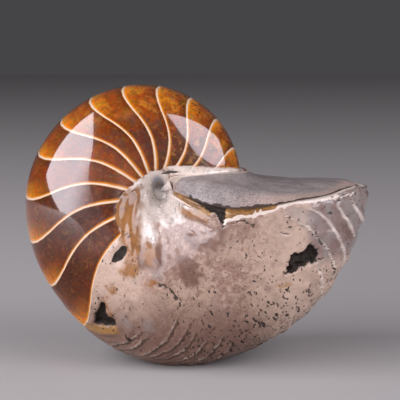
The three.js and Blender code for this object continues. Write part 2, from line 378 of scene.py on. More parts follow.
@dataclass(frozen=True)
class Surface:
    """Part of the shell's outside on a grid: rows run across the whorl, columns along the coil.

    Late is the share of the way along the living chamber, 0 on the older whorl and 1 at the lip.
    """

    growth: np.ndarray
    side: np.ndarray
    late: np.ndarray
    points: np.ndarray

    @classmethod
    def seen_flat(cls, points: np.ndarray) -> Surface:
        """Loose points as a surface of which only the flank is known.

        Args:
            points: places in millimetres.

        Returns:
            A surface on which outlines can be looked up along Y.
        """
        side = np.sign(points[..., 1])
        nothing = np.zeros(side.shape)
        return cls(nothing, side, nothing, points)

    def on(self, flank: Flank) -> np.ndarray:
        """True on one flank's half of the shell."""
        return np.sign(self.side) == flank.value

    @cached_property
    def normals(self) -> np.ndarray:
        """Unit normals outwards: the cross product of the grid's two directions.

        At the two poles, where that product is nothing, they point along Y.

        Returns:
            One for each point of the grid.
        """
        along = np.gradient(self.points, axis=0)
        across = np.gradient(self.points, axis=1)
        normals = np.cross(across, along)
        length = np.linalg.norm(normals, axis=-1, keepdims=True)
        flat = np.zeros_like(normals)
        flat[..., 1] = np.sign(self.side)
        return np.where(length > SMALL, normals / np.maximum(length, TINY), flat)


def smooth_line(corners: Corners, closed: bool, steps: int = 6) -> np.ndarray:
    """A smooth curve through corners: a cubic for each stretch, sloped by its neighbours.

    Args:
        corners: the points that it passes through, as (x, z).
        closed: whether it runs back to its start.
        steps: samples in each stretch.

    Returns:
        Points, one (x, z) each.
    """
    spots = np.array(corners, float)
    if closed:
        spots = np.concatenate([spots[-1:], spots, spots[:2]])
    else:
        spots = np.concatenate([2 * spots[:1] - spots[1:2], spots, 2 * spots[-1:] - spots[-2:-1]])
    share = np.linspace(0, 1, steps, endpoint=False)[:, None]
    a, b, c, d = (spots[None, i : len(spots) - 3 + i] for i in range(4))
    share = share[:, None]
    curve = 0.5 * (
        2 * b
        + (c - a) * share
        + (2 * a - 5 * b + 4 * c - d) * share**2
        + (3 * b - a - 3 * c + d) * share**3
    )
    curve = curve.transpose(1, 0, 2).reshape(-1, 2)
    return np.concatenate([curve, curve[:1] if closed else spots[-2:-1]])


def reach_to_line(flat: np.ndarray, line: np.ndarray) -> tuple[np.ndarray, np.ndarray]:
    """Distance from points to a line of short straight stretches, and the place along it.

    Args:
        flat: points, one (x, z) each.
        line: the line's corners, one (x, z) each.

    Returns:
        The distance to the nearest place on the line, and that place from 0 to 1.
    """
    start, step = line[:-1], np.diff(line, axis=0)
    lengths = np.linalg.norm(step, axis=1)
    total = np.concatenate([[0], np.cumsum(lengths)])
    offset = flat[:, None, :] - start[None]
    share = (offset * step).sum(-1) / np.maximum(lengths**2, TINY)
    share = np.clip(share, 0, 1)
    gap = np.linalg.norm(offset - share[..., None] * step, axis=-1)
    nearest = gap.argmin(axis=1)
    rows = np.arange(len(flat))
    along = (total[nearest] + share[rows, nearest] * lengths[nearest]) / total[-1]
    return gap[rows, nearest], along


def close_to(surface: Surface, flank: Flank, line: np.ndarray, margin: float) -> np.ndarray:
    """Marks the points of a surface in the box round a line, looking along Y.

    Args:
        surface: the grid.
        flank: the flank that the line is on.
        line: the line's points, one (x, z) each.
        margin: millimetres beyond the line on each side.

    Returns:
        True for the points inside.
    """
    near = surface.on(flank)
    for axis, column in ((0, 0), (2, 1)):
        value = surface.points[..., axis]
        low, high = line[:, column].min() - margin, line[:, column].max() + margin
        near &= (value > low) & (value < high)
    return near


def strayed(spots: np.ndarray, wobble: float, size: float, seeds: tuple[int, int]) -> np.ndarray:
    """Points flattened along Y and moved a little, so that what is drawn on them strays.

    Args:
        spots: places in millimetres.
        wobble: how far they move.
        size: the length of the waves that they move in.
        seeds: picks the waves, for x and for z.

    Returns:
        Points, one (x, z) each.
    """
    flat = spots[:, [0, 2]]
    if wobble:
        waves = [ripple(spots, size, seed) for seed in seeds]
        flat = flat + wobble * np.stack(waves, axis=-1)
    return flat


@dataclass(frozen=True)
class Trace:
    """A line on one flank, its corners as (x, z) in millimetres in the row frame, seen along Y.

    Wobble is how far it strays from its curve, in waves of about wave millimetres.
    """

    corners: Corners
    width: float
    flank: Flank = Flank.NEAR
    wobble: float = 0.0
    taper: bool = True
    wave: float = 3.0
    end_fade: float = 0.12
    margin: float = 4.0

    def measure(self, surface: Surface) -> tuple[np.ndarray, np.ndarray]:
        """Finds where a surface lies against the line, looking along Y.

        Args:
            surface: the grid.

        Returns:
            The distance to the line, FAR_OFF away from it, and the place along it from 0 to 1.
        """
        line = smooth_line(self.corners, closed=False)
        near = close_to(surface, self.flank, line, 6 * self.width + self.margin)
        gap = np.full(near.shape, FAR_OFF)
        along = np.zeros(near.shape)
        spots = surface.points[near]
        if len(spots):
            flat = strayed(spots, self.wobble, self.wave, (Seed.TRACE_X, Seed.TRACE_Z))
            gap[near], along[near] = reach_to_line(flat, line)
        return gap, along

    def mask(self, surface: Surface, soft: bool = False) -> np.ndarray:
        """1 on the line, falling to 0 at its width, thinner towards the ends if tapered.

        Args:
            surface: the grid.
            soft: whether it falls from its middle on, with no flat top.

        Returns:
            Shares from 0 to 1.
        """
        gap, along = self.measure(surface)
        width = self.width
        if self.taper:
            width = width * np.clip(4 * along * (1 - along), 0.05, 1) ** 0.5
        return ease(gap / width, 1.0, 0.0 if soft else 0.25)

    def step(self, surface: Surface, run: float) -> np.ndarray:
        """A scale's edge: 1 just right of the line, sloping to 0 over a run, 0 left of it.

        Args:
            surface: the grid.
            run: the slope's length in millimetres.

        Returns:
            Shares from 0 to 1.
        """
        gap, along = self.measure(surface)
        low, high = sorted((self.corners[0][1], self.corners[-1][1]))
        line = smooth_line(self.corners, closed=False)
        height = surface.points[..., 2]
        order = np.argsort(line[:, 1])
        right = surface.points[..., 0] > np.interp(height, line[order, 1], line[order, 0])
        within = (height < high + 1) & (height > low - 1)
        fade = ease(along, 0.0, self.end_fade) * ease(along, 1.0, 1 - self.end_fade)
        slope = np.where(right, ease(gap, run, 0.0) * ease(gap, -0.2, 0.6), 0.0)
        return slope * within * fade


@dataclass(frozen=True)
class Patch:
    """A closed outline on one flank, its corners as (x, z) in millimetres in the row frame.

    Wobble is how far it strays from its curve, in waves about ragged millimetres long.
    """

    corners: Corners
    flank: Flank = Flank.NEAR
    wobble: float = 0.4
    ragged: float = 4.0
    margin: float = 8.0

    def inside(self, surface: Surface) -> np.ndarray:
        """How far a surface lies inside the outline, looking along Y.

        A point is inside where a line from it to the right crosses the outline an odd number
        of times.

        Args:
            surface: the grid.

        Returns:
            Millimetres inside, negative outside, and minus FAR_OFF away from it.
        """
        line = smooth_line(self.corners, closed=True, steps=4)
        near = close_to(surface, self.flank, line, self.margin)
        depth = np.full(near.shape, -FAR_OFF)
        spots = surface.points[near]
        if not len(spots):
            return depth
        flat = strayed(spots, self.wobble, self.ragged, (Seed.PATCH_X, Seed.PATCH_Z))
        gap, _ = reach_to_line(flat, line)
        start, end = line[:-1], line[1:]
        above = (start[:, 1] > flat[:, 1:]) != (end[:, 1] > flat[:, 1:])
        slope = np.where(np.abs(end[:, 1] - start[:, 1]) < TINY, TINY, end[:, 1] - start[:, 1])
        cross = start[:, 0] + (flat[:, 1:] - start[:, 1]) * (end[:, 0] - start[:, 0]) / slope
        odd = (above & (flat[:, :1] < cross)).sum(axis=1) % 2 == 1
        depth[near] = np.where(odd, gap, -gap)
        return depth

    def mask(self, surface: Surface, soft: float = 1.0) -> np.ndarray:
        """1 inside the outline and 0 outside, over a band of twice soft millimetres."""
        return ease(self.inside(surface), -soft, soft)


@dataclass(frozen=True)
class Hole:
    """A hole broken through the skin, with how far it goes in."""

    patch: Patch
    depth: float
    rim: float = 0.5


@dataclass(frozen=True)
class Damage:
    """Everything broken, worn or cracked on the shell, by flank."""

    holes: tuple[Hole, ...] = (
        Hole(Patch(((-34.0, 31.4), (-35.3, 30.2), (-36.0, 27.8), (-37.9, 24.2), (-38.0, 20.2),
                    (-33.0, 19.4), (-28.8, 20.5), (-28.4, 23.3), (-31.1, 25.3), (-32.7, 27.4),
                    (-32.7, 30.4)), wobble=0.12), 6.0),
        Hole(Patch(((-23.6, 56.6), (-26.6, 55.4), (-28.8, 52.6), (-29.6, 49.8), (-28.2, 49.2),
                    (-25.6, 50.4), (-23.4, 53.4)), wobble=0.15), 1.6),
        Hole(Patch(((54.4, 57.6), (56.8, 55.6), (57.4, 52.4), (57.0, 49.0), (53.6, 48.6),
                    (50.4, 47.2), (47.2, 45.4), (43.9, 45.0), (44.2, 47.4), (45.0, 51.6),
                    (47.2, 54.0), (50.6, 54.2), (51.8, 56.6)), wobble=0.35, ragged=2.5), 4.5),
        Hole(Patch(((16.6, 18.6), (13.4, 15.6), (9.6, 17.2), (9.2, 20.6), (12.4, 22.4),
                    (15.8, 21.8)), Flank.FAR, wobble=0.6), 3.5),
    )
    lamellae: tuple[Trace, ...] = (
        Trace(((51.4, 73.4), (56.5, 71.3), (61.0, 66.9), (64.7, 61.0), (68.0, 54.2), (69.7, 48.2),
               (68.9, 43.0)), 1.0, wobble=0.06),
        Trace(((42.1, 72.5), (44.7, 69.6), (48.5, 67.4), (52.6, 64.9), (56.7, 60.3), (61.1, 54.4),
               (64.1, 47.3), (65.4, 40.8)), 0.55, wobble=0.2),
        Trace(((63.4, 74.8), (67.0, 70.2), (70.8, 63.8), (74.6, 57.0)), 0.95, wobble=0.06),
        Trace(((70.4, 75.8), (73.7, 70.8), (77.8, 62.6)), 0.85, wobble=0.06),
        Trace(((56.3, 48.0), (58.2, 43.3), (59.7, 36.0), (59.7, 29.6)), 0.7, wobble=0.3),
    )
    ledges: tuple[Trace, ...] = (
        Trace(((-34.6, 9.4), (-30.8, 8.9), (-26.0, 11.0), (-21.6, 13.8), (-15.6, 19.3)), 0.9,
              wobble=0.3),
        Trace(((-28.0, 6.4), (-22.0, 9.0), (-17.2, 13.0), (-13.6, 16.6)), 0.9, wobble=0.3),
        Trace(((-20.0, 5.6), (-14.0, 8.2), (-9.4, 11.4), (-5.9, 15.1), (-2.9, 20.8), (-1.1, 25.5)),
              0.9, wobble=0.3),
        Trace(((-15.4, 4.4), (-7.4, 8.5), (-1.6, 12.7), (1.6, 18.0), (4.2, 23.5)), 0.9, wobble=0.3),
        Trace(((-9.6, 3.2), (-4.5, 5.4), (0.3, 8.6), (4.1, 13.4), (6.6, 19.0)), 0.9, wobble=0.3),
        Trace(((-2.0, 2.6), (3.4, 5.4), (8.0, 9.6), (11.4, 15.6)), 0.8, wobble=0.3),
        Trace(((6.0, 3.0), (11.4, 6.6), (15.6, 11.6), (18.0, 17.0)), 0.8, wobble=0.3),
        Trace(((14.0, 3.4), (19.0, 8.0), (22.6, 14.0)), 0.8, wobble=0.3),
    )
    far_lamellae: tuple[Trace, ...] = (
        Trace(((53.6, 73.8), (60.7, 67.0), (66.0, 58.4), (68.6, 49.6), (66.6, 41.0)), 1.1,
              Flank.FAR, taper=False),
        Trace(((66.2, 74.2), (70.2, 67.4), (74.6, 57.0)), 1.0, Flank.FAR, taper=False),
    )
    cracks: tuple[Trace, ...] = (
        Trace(((-11.1, 41.2), (-7.7, 40.6), (-5.6, 38.8), (-3.4, 36.6), (-1.8, 34.6),
               (-0.2, 31.8)), 0.75, wobble=0.5),
        Trace(((-0.2, 32.2), (-2.4, 29.2)), 0.7, wobble=0.4),
        Trace(((54.9, 64.8), (56.2, 61.4), (57.9, 58.8), (59.4, 56.0), (61.3, 53.6)), 0.7,
              wobble=0.25),
        Trace(((62.8, 49.0), (64.2, 45.4), (65.2, 41.4)), 0.8, wobble=0.2),
        Trace(((53.5, 40.4), (54.4, 35.4), (55.8, 29.0)), 0.6, wobble=0.4),
        Trace(((-8.8, 84.9), (-5.2, 85.6), (-1.6, 85.9)), 1.0),
        Trace(((17.0, 66.6), (17.2, 64.8)), 0.8),
        Trace(((21.0, 66.6), (24.4, 68.4), (27.2, 67.4), (30.4, 65.8)), 0.6, wobble=0.4),
        Trace(((40.6, 63.6), (44.8, 61.8)), 0.5, wobble=0.3),
        Trace(((57.2, 50.4), (60.2, 51.2)), 0.5, wobble=0.2),
        Trace(((-24.6, 17.6), (-21.0, 12.6)), 0.5, wobble=0.3),
        Trace(((22.0, 60.0), (18.6, 52.8), (20.4, 45.0), (16.0, 38.4)), 0.5, Flank.FAR, 0.9),
        Trace(((40.0, 58.6), (46.0, 51.2), (52.6, 47.0)), 0.5, Flank.FAR, 0.8),
    )
    lip_shift: tuple[float, float] = (-1.0, 0.9)
    lip_width: float = 1.0
    lip_wobble: float = 0.12

    @property
    def scales(self) -> tuple[Trace, ...]:
        """The lamellae of both flanks."""
        return self.lamellae + self.far_lamellae

    @cached_property
    def ledge_lips_and_highlights(self) -> tuple[Trace, ...]:
        """The raised edges of the ledges, just above and left of their furrows, bright with a painted
        highlight.

        Returns:
            One line for each ledge.
        """
        (dx, dz), lips_and_highlights = self.lip_shift, []
        for ledge in self.ledges:
            corners = tuple((x + dx, z + dz) for x, z in ledge.corners)
            lips_and_highlights.append(replace(ledge, corners=corners, width=self.lip_width, wobble=self.lip_wobble))
        return tuple(lips_and_highlights)


@dataclass(frozen=True)
class Folds:
    """Soft folds of the callus that fan out from the near umbilicus, and the hollows between."""

    ridges: tuple[Trace, ...] = (
        Trace(((-14.6, 74.0), (-14.4, 68.0), (-12.7, 63.4), (-10.8, 57.6)), 3.2),
        Trace(((-6.1, 74.4), (-1.4, 72.6), (4.0, 70.6), (9.4, 68.0)), 3.0),
        Trace(((-10.0, 71.4), (-6.6, 66.6), (-1.0, 63.6), (5.6, 62.4)), 3.0),
        Trace(((-19.0, 76.4), (-20.8, 70.0), (-21.6, 62.0), (-21.0, 53.0)), 2.6),
    )
    hollows: tuple[Trace, ...] = (
        Trace(((-15.8, 76.9), (-17.9, 71.4), (-18.1, 64.6), (-17.4, 56.6), (-17.4, 47.5)), 3.0),
        Trace(((-22.6, 77.6), (-24.6, 72.4), (-25.0, 64.6), (-23.4, 55.6)), 3.4),
        Trace(((0.0, 68.6), (5.4, 66.8), (11.5, 65.0)), 2.8),
        Trace(((-9.6, 63.0), (-8.6, 57.6), (-8.4, 49.6)), 3.0),
    )

    ridge_height: float = 0.38
    hollow_depth: float = 0.32

    def lift(self, surface: Surface) -> np.ndarray:
        """Height of the folds.

        Args:
            surface: the grid.

        Returns:
            Millimetres, negative in the hollows.
        """
        up = drawn(surface, self.ridges, soft=True)
        down = drawn(surface, self.hollows, soft=True)
        return self.ridge_height * up - self.hollow_depth * down


CALLUS_EDGE: Corners = (
    (-16.0, 84.6), (-20.4, 81.6), (-23.9, 78.6), (-26.8, 74.3), (-28.1, 69.6), (-27.3, 64.2),
    (-24.8, 60.2), (-20.0, 56.0), (0.0, 56.0), (6.0, 70.0), (0.0, 80.0), (-6.0, 86.0), (-11.0, 87.0),
)


@dataclass(frozen=True)
class Stains:
    """Where the living chamber's skin changes colour, by flank.

    Softness is half the width, in millimetres, of the band over which a kind of stain fades.
    """

    ochre: tuple[Patch, ...] = (
        Patch(((-21.1, 79.4), (-27.2, 75.6), (-29.4, 68.8), (-27.8, 62.7), (-25.0, 57.7),
               (-24.2, 48.5), (-26.4, 45.0), (-19.0, 43.2), (-17.8, 51.8), (-17.6, 58.6),
               (-18.4, 63.7), (-18.8, 69.6), (-17.4, 75.5), (-16.0, 79.4)), wobble=0.3),
        Patch(((-13.6, 43.4), (-11.4, 42.6), (-10.8, 39.8), (-13.2, 39.0), (-15.6, 40.4)), wobble=0.8),
        Patch(((-31.8, 38.6), (-29.6, 38.8), (-29.0, 36.4), (-31.4, 35.8)), wobble=0.6),
        Patch(((-33.5, 34.6), (-31.8, 30.9), (-29.4, 25.2), (-30.6, 26.2), (-32.6, 30.9)), wobble=0.2),
        Patch(((-15.8, 58.4), (-12.2, 58.0), (-11.2, 54.0), (-12.0, 49.4), (-15.2, 49.0),
               (-16.4, 53.4)), wobble=0.4),
        Patch(((-0.6, 72.4), (4.4, 71.6), (10.9, 69.4), (11.6, 67.6), (5.4, 68.6), (-0.2, 70.0)),
              wobble=0.4),
        Patch(((24, 70), (28, 73), (31, 66), (29, 57), (25, 52), (22, 58)), Flank.FAR, wobble=1.8),
        Patch(((33, 44), (37, 46), (40, 40), (36, 36)), Flank.FAR, wobble=1.2),
    )
    gold: tuple[Patch, ...] = (
        Patch(((-46.8, 23.0), (-42.0, 21.7), (-37.7, 19.8), (-33.1, 19.4), (-28.3, 20.3),
               (-27.3, 17.7), (-29.9, 16.2), (-33.3, 16.5), (-37.5, 16.2), (-41.1, 16.8),
               (-45.4, 18.7)), wobble=0.3),
        Patch(((39.4, 40.2), (42.7, 40.6), (46.0, 40.4), (45.8, 39.6), (42.6, 39.4),
               (39.8, 39.6)), wobble=0.25),
    )
    rim_gold: tuple[Patch, ...] = (
        Patch(((-4.8, 79.6), (-0.9, 78.4), (3.6, 77.5), (4.6, 75.9), (9.8, 72.8), (12.4, 71.0),
               (10.3, 69.8), (6.0, 71.4), (1.8, 73.4), (-1.2, 75.7), (-3.8, 77.4)),
              wobble=0.15, ragged=2.0),
        Patch(((17.4, 76.0), (24.0, 76.0), (33.0, 76.0), (42.3, 76.0), (41.4, 74.2), (36.9, 72.8),
               (30.3, 71.4), (25.3, 70.4), (21.3, 69.8), (18.4, 68.3), (17.0, 70.0)),
              wobble=0.3, ragged=1.6),
    )
    void: tuple[Patch, ...] = (
        Patch(((2.9, 78.2), (6.0, 80.4), (10.3, 79.6), (14.3, 78.9), (18.2, 78.2), (18.0, 70.5),
               (16.9, 66.6), (15.6, 67.4), (14.0, 70.5), (10.6, 72.0), (7.3, 74.4), (4.0, 76.3)),
              wobble=0.2, ragged=1.5),
    )
    brown: tuple[Patch, ...] = (
        Patch(((14.2, 65.4), (17.4, 66.4), (17.6, 62.6), (16.8, 58.4), (14.2, 56.8),
               (12.8, 58.6), (15.2, 61.6)), wobble=0.3),
        Patch(((-1.0, 52.9), (4.8, 52.4), (7.4, 47.4), (7.0, 42.4), (4.0, 40.0), (1.0, 41.9),
               (-2.1, 46.5)), wobble=0.9, ragged=4.0),
        Patch(((2.0, 62.0), (5.8, 60.6), (10.2, 60.0), (13.9, 61.0), (16.9, 62.0), (14.6, 57.7),
               (9.9, 55.4), (4.9, 56.1), (1.6, 58.8)), wobble=0.8, ragged=4.0),
        Patch(((67.4, 66.0), (70.6, 62.6), (73.6, 58.0), (71.0, 56.8), (68.2, 60.0)), wobble=0.5),
        Patch(((-10.6, 57.4), (-8.2, 54.2), (-7.8, 49.1), (-10.4, 48.2), (-12.8, 52.9)), wobble=0.5),
        Patch(((-18.6, 55.4), (-13.6, 56.0), (-11.8, 52.0), (-12.8, 47.6), (-18.0, 47.0),
               (-19.8, 50.8)), wobble=0.5),
        Patch(((-24, 56), (-14, 58), (-8, 50), (-13, 42), (-20, 44)), Flank.FAR, wobble=1.2, ragged=9.0),
        Patch(((44, 60), (52, 58), (56, 48), (48, 44), (42, 50)), Flank.FAR, wobble=1.2, ragged=9.0),
    )
    grey: tuple[Patch, ...] = (
        Patch(((-12.9, 47.6), (-9.9, 47.6), (-8.1, 45.0), (-9.5, 42.8), (-13.2, 44.1)), wobble=0.6),
        Patch(((-19.6, 60.6), (-18.4, 52.0), (-18.6, 42.0), (-20.8, 41.4), (-21.6, 49.0)), wobble=0.6),
        Patch(((-25.4, 26.6), (-22.3, 24.5), (-21.7, 20.8), (-24.3, 21.2), (-26.3, 23.6)), wobble=0.4),
        Patch(((-15.6, 24.0), (-13.2, 25.0), (-12.6, 20.0), (-15.2, 19.6)), wobble=0.4),
        Patch(((42.2, 73.0), (50.4, 74.0), (56.0, 71.4), (60.0, 67.4), (57.2, 62.4), (52.6, 65.6),
               (47.6, 68.8)), wobble=0.8),
        Patch(((64.6, 72.6), (70.4, 73.6), (73.6, 66.4), (70.0, 66.0)), wobble=0.6),
    )
    nacre: tuple[Patch, ...] = (
        Patch(((-7.0, 78.2), (-2.9, 77.0), (1.0, 74.6), (3.5, 72.8), (1.8, 69.8), (-0.7, 66.8),
               (-5.9, 63.9), (-11.5, 66.2), (-13.9, 72.8), (-11.6, 74.4)), wobble=0.6, ragged=3.5),
        Patch(((-17.5, 69.3), (-15.2, 70.5), (-12.2, 66.5), (-10.2, 60.8), (-13.2, 56.5),
               (-15.7, 60.7)), wobble=0.3),
        Patch(((-20.9, 83.4), (-18.8, 84.1), (-16.6, 82.3), (-17.4, 79.8), (-20.3, 80.7)), wobble=0.3),
        Patch(((-14.0, 76.4), (-12.6, 64.0), (-3.0, 60.4), (8.0, 64.9), (9.0, 69.1),
               (1.9, 77.6), (-7.1, 80.1)), Flank.FAR, wobble=1.5, ragged=6.0),
    )
    callus: tuple[Patch, ...] = (
        Patch(CALLUS_EDGE, wobble=0.35, ragged=3.0),
        Patch(CALLUS_EDGE, Flank.FAR, wobble=0.9, ragged=4.0),
    )
    dash_rows: tuple[Trace, ...] = (
        Trace(((32.3, 19.5), (33.4, 25.0), (33.8, 30.2)), 0.8, wobble=0.4),
        Trace(((39.2, 19.9), (39.9, 25.0), (39.7, 29.6)), 0.8, wobble=0.4),
        Trace(((44.4, 15.2), (45.4, 20.0), (45.6, 24.7)), 0.8, wobble=0.4),
        Trace(((48.9, 19.6), (49.8, 23.0), (49.5, 27.3)), 0.7, wobble=0.4),
        Trace(((27.0, 14.0), (28.4, 19.0), (28.8, 24.4)), 0.7, wobble=0.5),
        Trace(((54.4, 25.6), (55.2, 30.4), (54.4, 35.0)), 0.6, wobble=0.4),
    )
    pale_lines: tuple[Trace, ...] = (
        Trace(((-7.9, 84.8), (-7.4, 82.4), (-7.1, 78.6), (-5.3, 76.4), (-1.6, 75.5), (3.6, 73.4)), 0.6),
        Trace(((17.6, 66.6), (18.6, 68.4), (24.2, 70.0), (33.0, 71.4), (42.5, 74.6), (48.7, 75.8),
               (57.2, 76.1), (64.9, 77.2), (72.3, 77.6)), 0.9, wobble=0.35, taper=False),
    )
    softness: tuple[tuple[str, float], ...] = (
        ("ochre", 2.3), ("gold", 1.8), ("brown", 2.8), ("grey", 2.8), ("nacre", 2.8),
    )


def strongest(shape: tuple[int, ...], fields: Sequence[np.ndarray]) -> np.ndarray:
    """The largest of some fields at each point, and 0 where none is above it.

    Args:
        shape: the grid's shape.
        fields: the fields; there may be none.

    Returns:
        One field of that shape.
    """
    return np.maximum.reduce([np.zeros(shape), *fields])


def drawn(surface: Surface, marks: Sequence[Trace | Patch], **softness: float) -> np.ndarray:
    """The strongest mask of some lines or outlines at each point.

    Args:
        surface: the grid.
        marks: the lines or outlines.
        softness: soft, if it isn't to be the masks' own.

    Returns:
        Shares from 0 to 1.
    """
    return strongest(surface.side.shape, [mark.mask(surface, **softness) for mark in marks])


def grid_faces(at: np.ndarray) -> np.ndarray:
    """Triangles of a grid of point numbers, two to a cell, without those that have no area.

    Args:
        at: the numbers of the grid's points, rows by columns.

    Returns:
        Triangles, one row of three numbers each, turning from rows to columns.
    """
    a, b, c, d = at[:-1, :-1], at[1:, :-1], at[1:, 1:], at[:-1, 1:]
    first = np.stack([a, b, c], axis=-1).reshape(-1, 3)
    second = np.stack([a, c, d], axis=-1).reshape(-1, 3)
    faces = np.concatenate([first, second])
    x, y, z = faces.T
    return faces[(x != y) & (y != z) & (x != z)]


def ring_numbers(rings: np.ndarray, first: int = 0) -> np.ndarray:
    """Point numbers of rings, each with its first point once more at its end.

    Args:
        rings: points by ring and place round it.
        first: the number of the first point.

    Returns:
        Numbers by ring and place.
    """
    rows, around = rings.shape[:2]
    number = first + np.arange(rows * around).reshape(rows, around)
    return np.concatenate([number, number[:, :1]], axis=1)


def across_cap(first: int, count: int) -> np.ndarray:
    """Two rows of point numbers that close a ring of points by strips across it.

    Args:
        first: the number of the ring's first point.
        count: how many points the ring has.

    Returns:
        Numbers up one half of the ring, and those across from them on the other half.
    """
    columns = np.arange(count // 2 + 1)
    return np.stack([first + columns, first + (count - columns) % count])


def make_piece(name: str, points: np.ndarray, faces: np.ndarray,
               fields: dict[str, np.ndarray]) -> bpy.types.Object:
    """Makes a smooth-shaded object from points, triangles and fields.

    Args:
        name: the piece's name.
        points: places in millimetres.
        faces: triangles that turn anticlockwise seen from outside.
        fields: numbers for each point, by name.

    Returns:
        The object, at the origin.
    """
    mesh = bpy.data.meshes.new(name)
    mesh.vertices.add(len(points))
    mesh.vertices.foreach_set("co", (points * MM).astype(np.float32).ravel())
    mesh.loops.add(faces.size)
    mesh.loops.foreach_set("vertex_index", faces.astype(np.int32).ravel())
    mesh.polygons.add(len(faces))
    mesh.polygons.foreach_set("loop_start", np.arange(0, faces.size, 3, dtype=np.int32))
    mesh.update(calc_edges=True)
    mesh.polygons.foreach_set("use_smooth", np.ones(len(faces), dtype=bool))
    for key, values in fields.items():
        layer = mesh.attributes.new(key, "FLOAT", "POINT")
        layer.data.foreach_set("value", values.astype(np.float32).ravel())
    mesh.validate()
    piece = bpy.data.objects.new(name, mesh)
    bpy.context.scene.collection.objects.link(piece)
    return piece


def closed_piece(name: str, points: np.ndarray, faces: np.ndarray,
                 fields: dict[str, np.ndarray]) -> bpy.types.Object:
    """Makes a piece from a closed surface, without the points that no triangle uses.

    The triangles are turned over if the volume that they close, the sum of each one's triple
    product, is negative.

    Args:
        name: the piece's name.
        points: places in millimetres.
        faces: triangles that all turn the same way.
        fields: numbers for each point, by name.

    Returns:
        The object, at the origin.
    """
    a, b, c = (points[faces[:, corner]] for corner in range(3))
    if (a * np.cross(b, c)).sum() <= 0:
        faces = faces[:, ::-1]
    used = np.unique(faces)
    renumber = np.zeros(len(points), dtype=int)
    renumber[used] = np.arange(len(used))
    kept = {key: values[used] for key, values in fields.items()}
    return make_piece(name, points[used], renumber[faces], kept)


@dataclass(frozen=True)
class Chamber:
    """The hollow of the living chamber as rings from its mouth to the last septum."""

    mouth: Mouth = field(default_factory=Mouth)
    wall: float = 2.2
    dorsal_wall: float = 1.2
    outer_reach: float = 0.84
    dorsal_reach: float = 0.7
    last_septum: float = math.radians(243)
    bow: float = math.radians(9)
    horn_clearance: float = 0.09
    tip_thinning: float = 0.6
    thinning_span: tuple[float, float] = (0.55, 0.8)

    def rings(self, sides: np.ndarray, depths: np.ndarray, clearance: np.ndarray) -> np.ndarray:
        """Rings of points, each from the near to the far umbilicus inside the outer wall, then
        back over the older whorl.

        Args:
            sides: shares of the reach at which a ring has points.
            depths: shares of the way from the mouth to the last septum, one for each ring.
            clearance: how far each ring is drawn in on all sides.

        Returns:
            Points by ring and place round it.
        """
        coil, depth, inset = self.mouth.coil, depths[:, None], clearance[:, None]
        bow = self.bow * depth * (1 - sides**2)
        reach = sides * self.outer_reach
        start = TURN + self.mouth.edge_growth(reach)
        growth = start + (self.last_septum - start) * depth - bow
        thin = 1 - self.tip_thinning * ease(np.abs(reach), *self.thinning_span)
        outer = coil.inset(growth, np.broadcast_to(reach, growth.shape), self.wall * thin + inset)
        back = sides[-2:0:-1]
        reach = back * (self.dorsal_reach - inset * self.horn_clearance)
        start = self.mouth.contact_growth(reach)
        growth = start + (self.last_septum - TURN - start) * depth - bow[:, -2:0:-1]
        older = coil.inset(growth, reach, -self.dorsal_wall - inset)
        return np.concatenate([outer, older], axis=1)


@dataclass(frozen=True)
class Ridges:
    """Growth ridges round the keel of the living chamber, as the solid has them."""

    height: float = 0.75
    sweep: float = math.radians(27)
    reach: float = 0.42
    count: int = 21
    unevenness: float = 0.16
    crest: float = 0.68

    def phase(self, surface: Surface) -> np.ndarray:
        """Place between one ridge and the next, a little uneven, from 0 to 1."""
        uneven = self.unevenness * ripple(surface.points, 26, Seed.RIDGE_PLACE)
        return (surface.late * self.count + uneven) % 1.0

    def lift(self, surface: Surface) -> np.ndarray:
        """Height: a slow rise and a steep fall along the coil, fading down the flank.

        Args:
            surface: the grid.

        Returns:
            Millimetres, 0 off the living chamber.
        """
        phase, flank = self.phase(surface), np.abs(surface.side)
        rise = np.where(phase < self.crest, ease(phase, 0.0, 0.72), ease(phase, 1.0, 0.66))
        on_keel = 1 - ease(flank, self.reach * 0.5, self.reach * 1.1)
        spread = 0.75 + 0.25 * ripple(surface.points, 17, Seed.RIDGE_HEIGHT)
        living = ease(surface.late, 0.01, 0.06) * ease(surface.late, 1.0, 0.985)
        return self.height * rise * on_keel * spread.clip(0.3, 1.25) * living


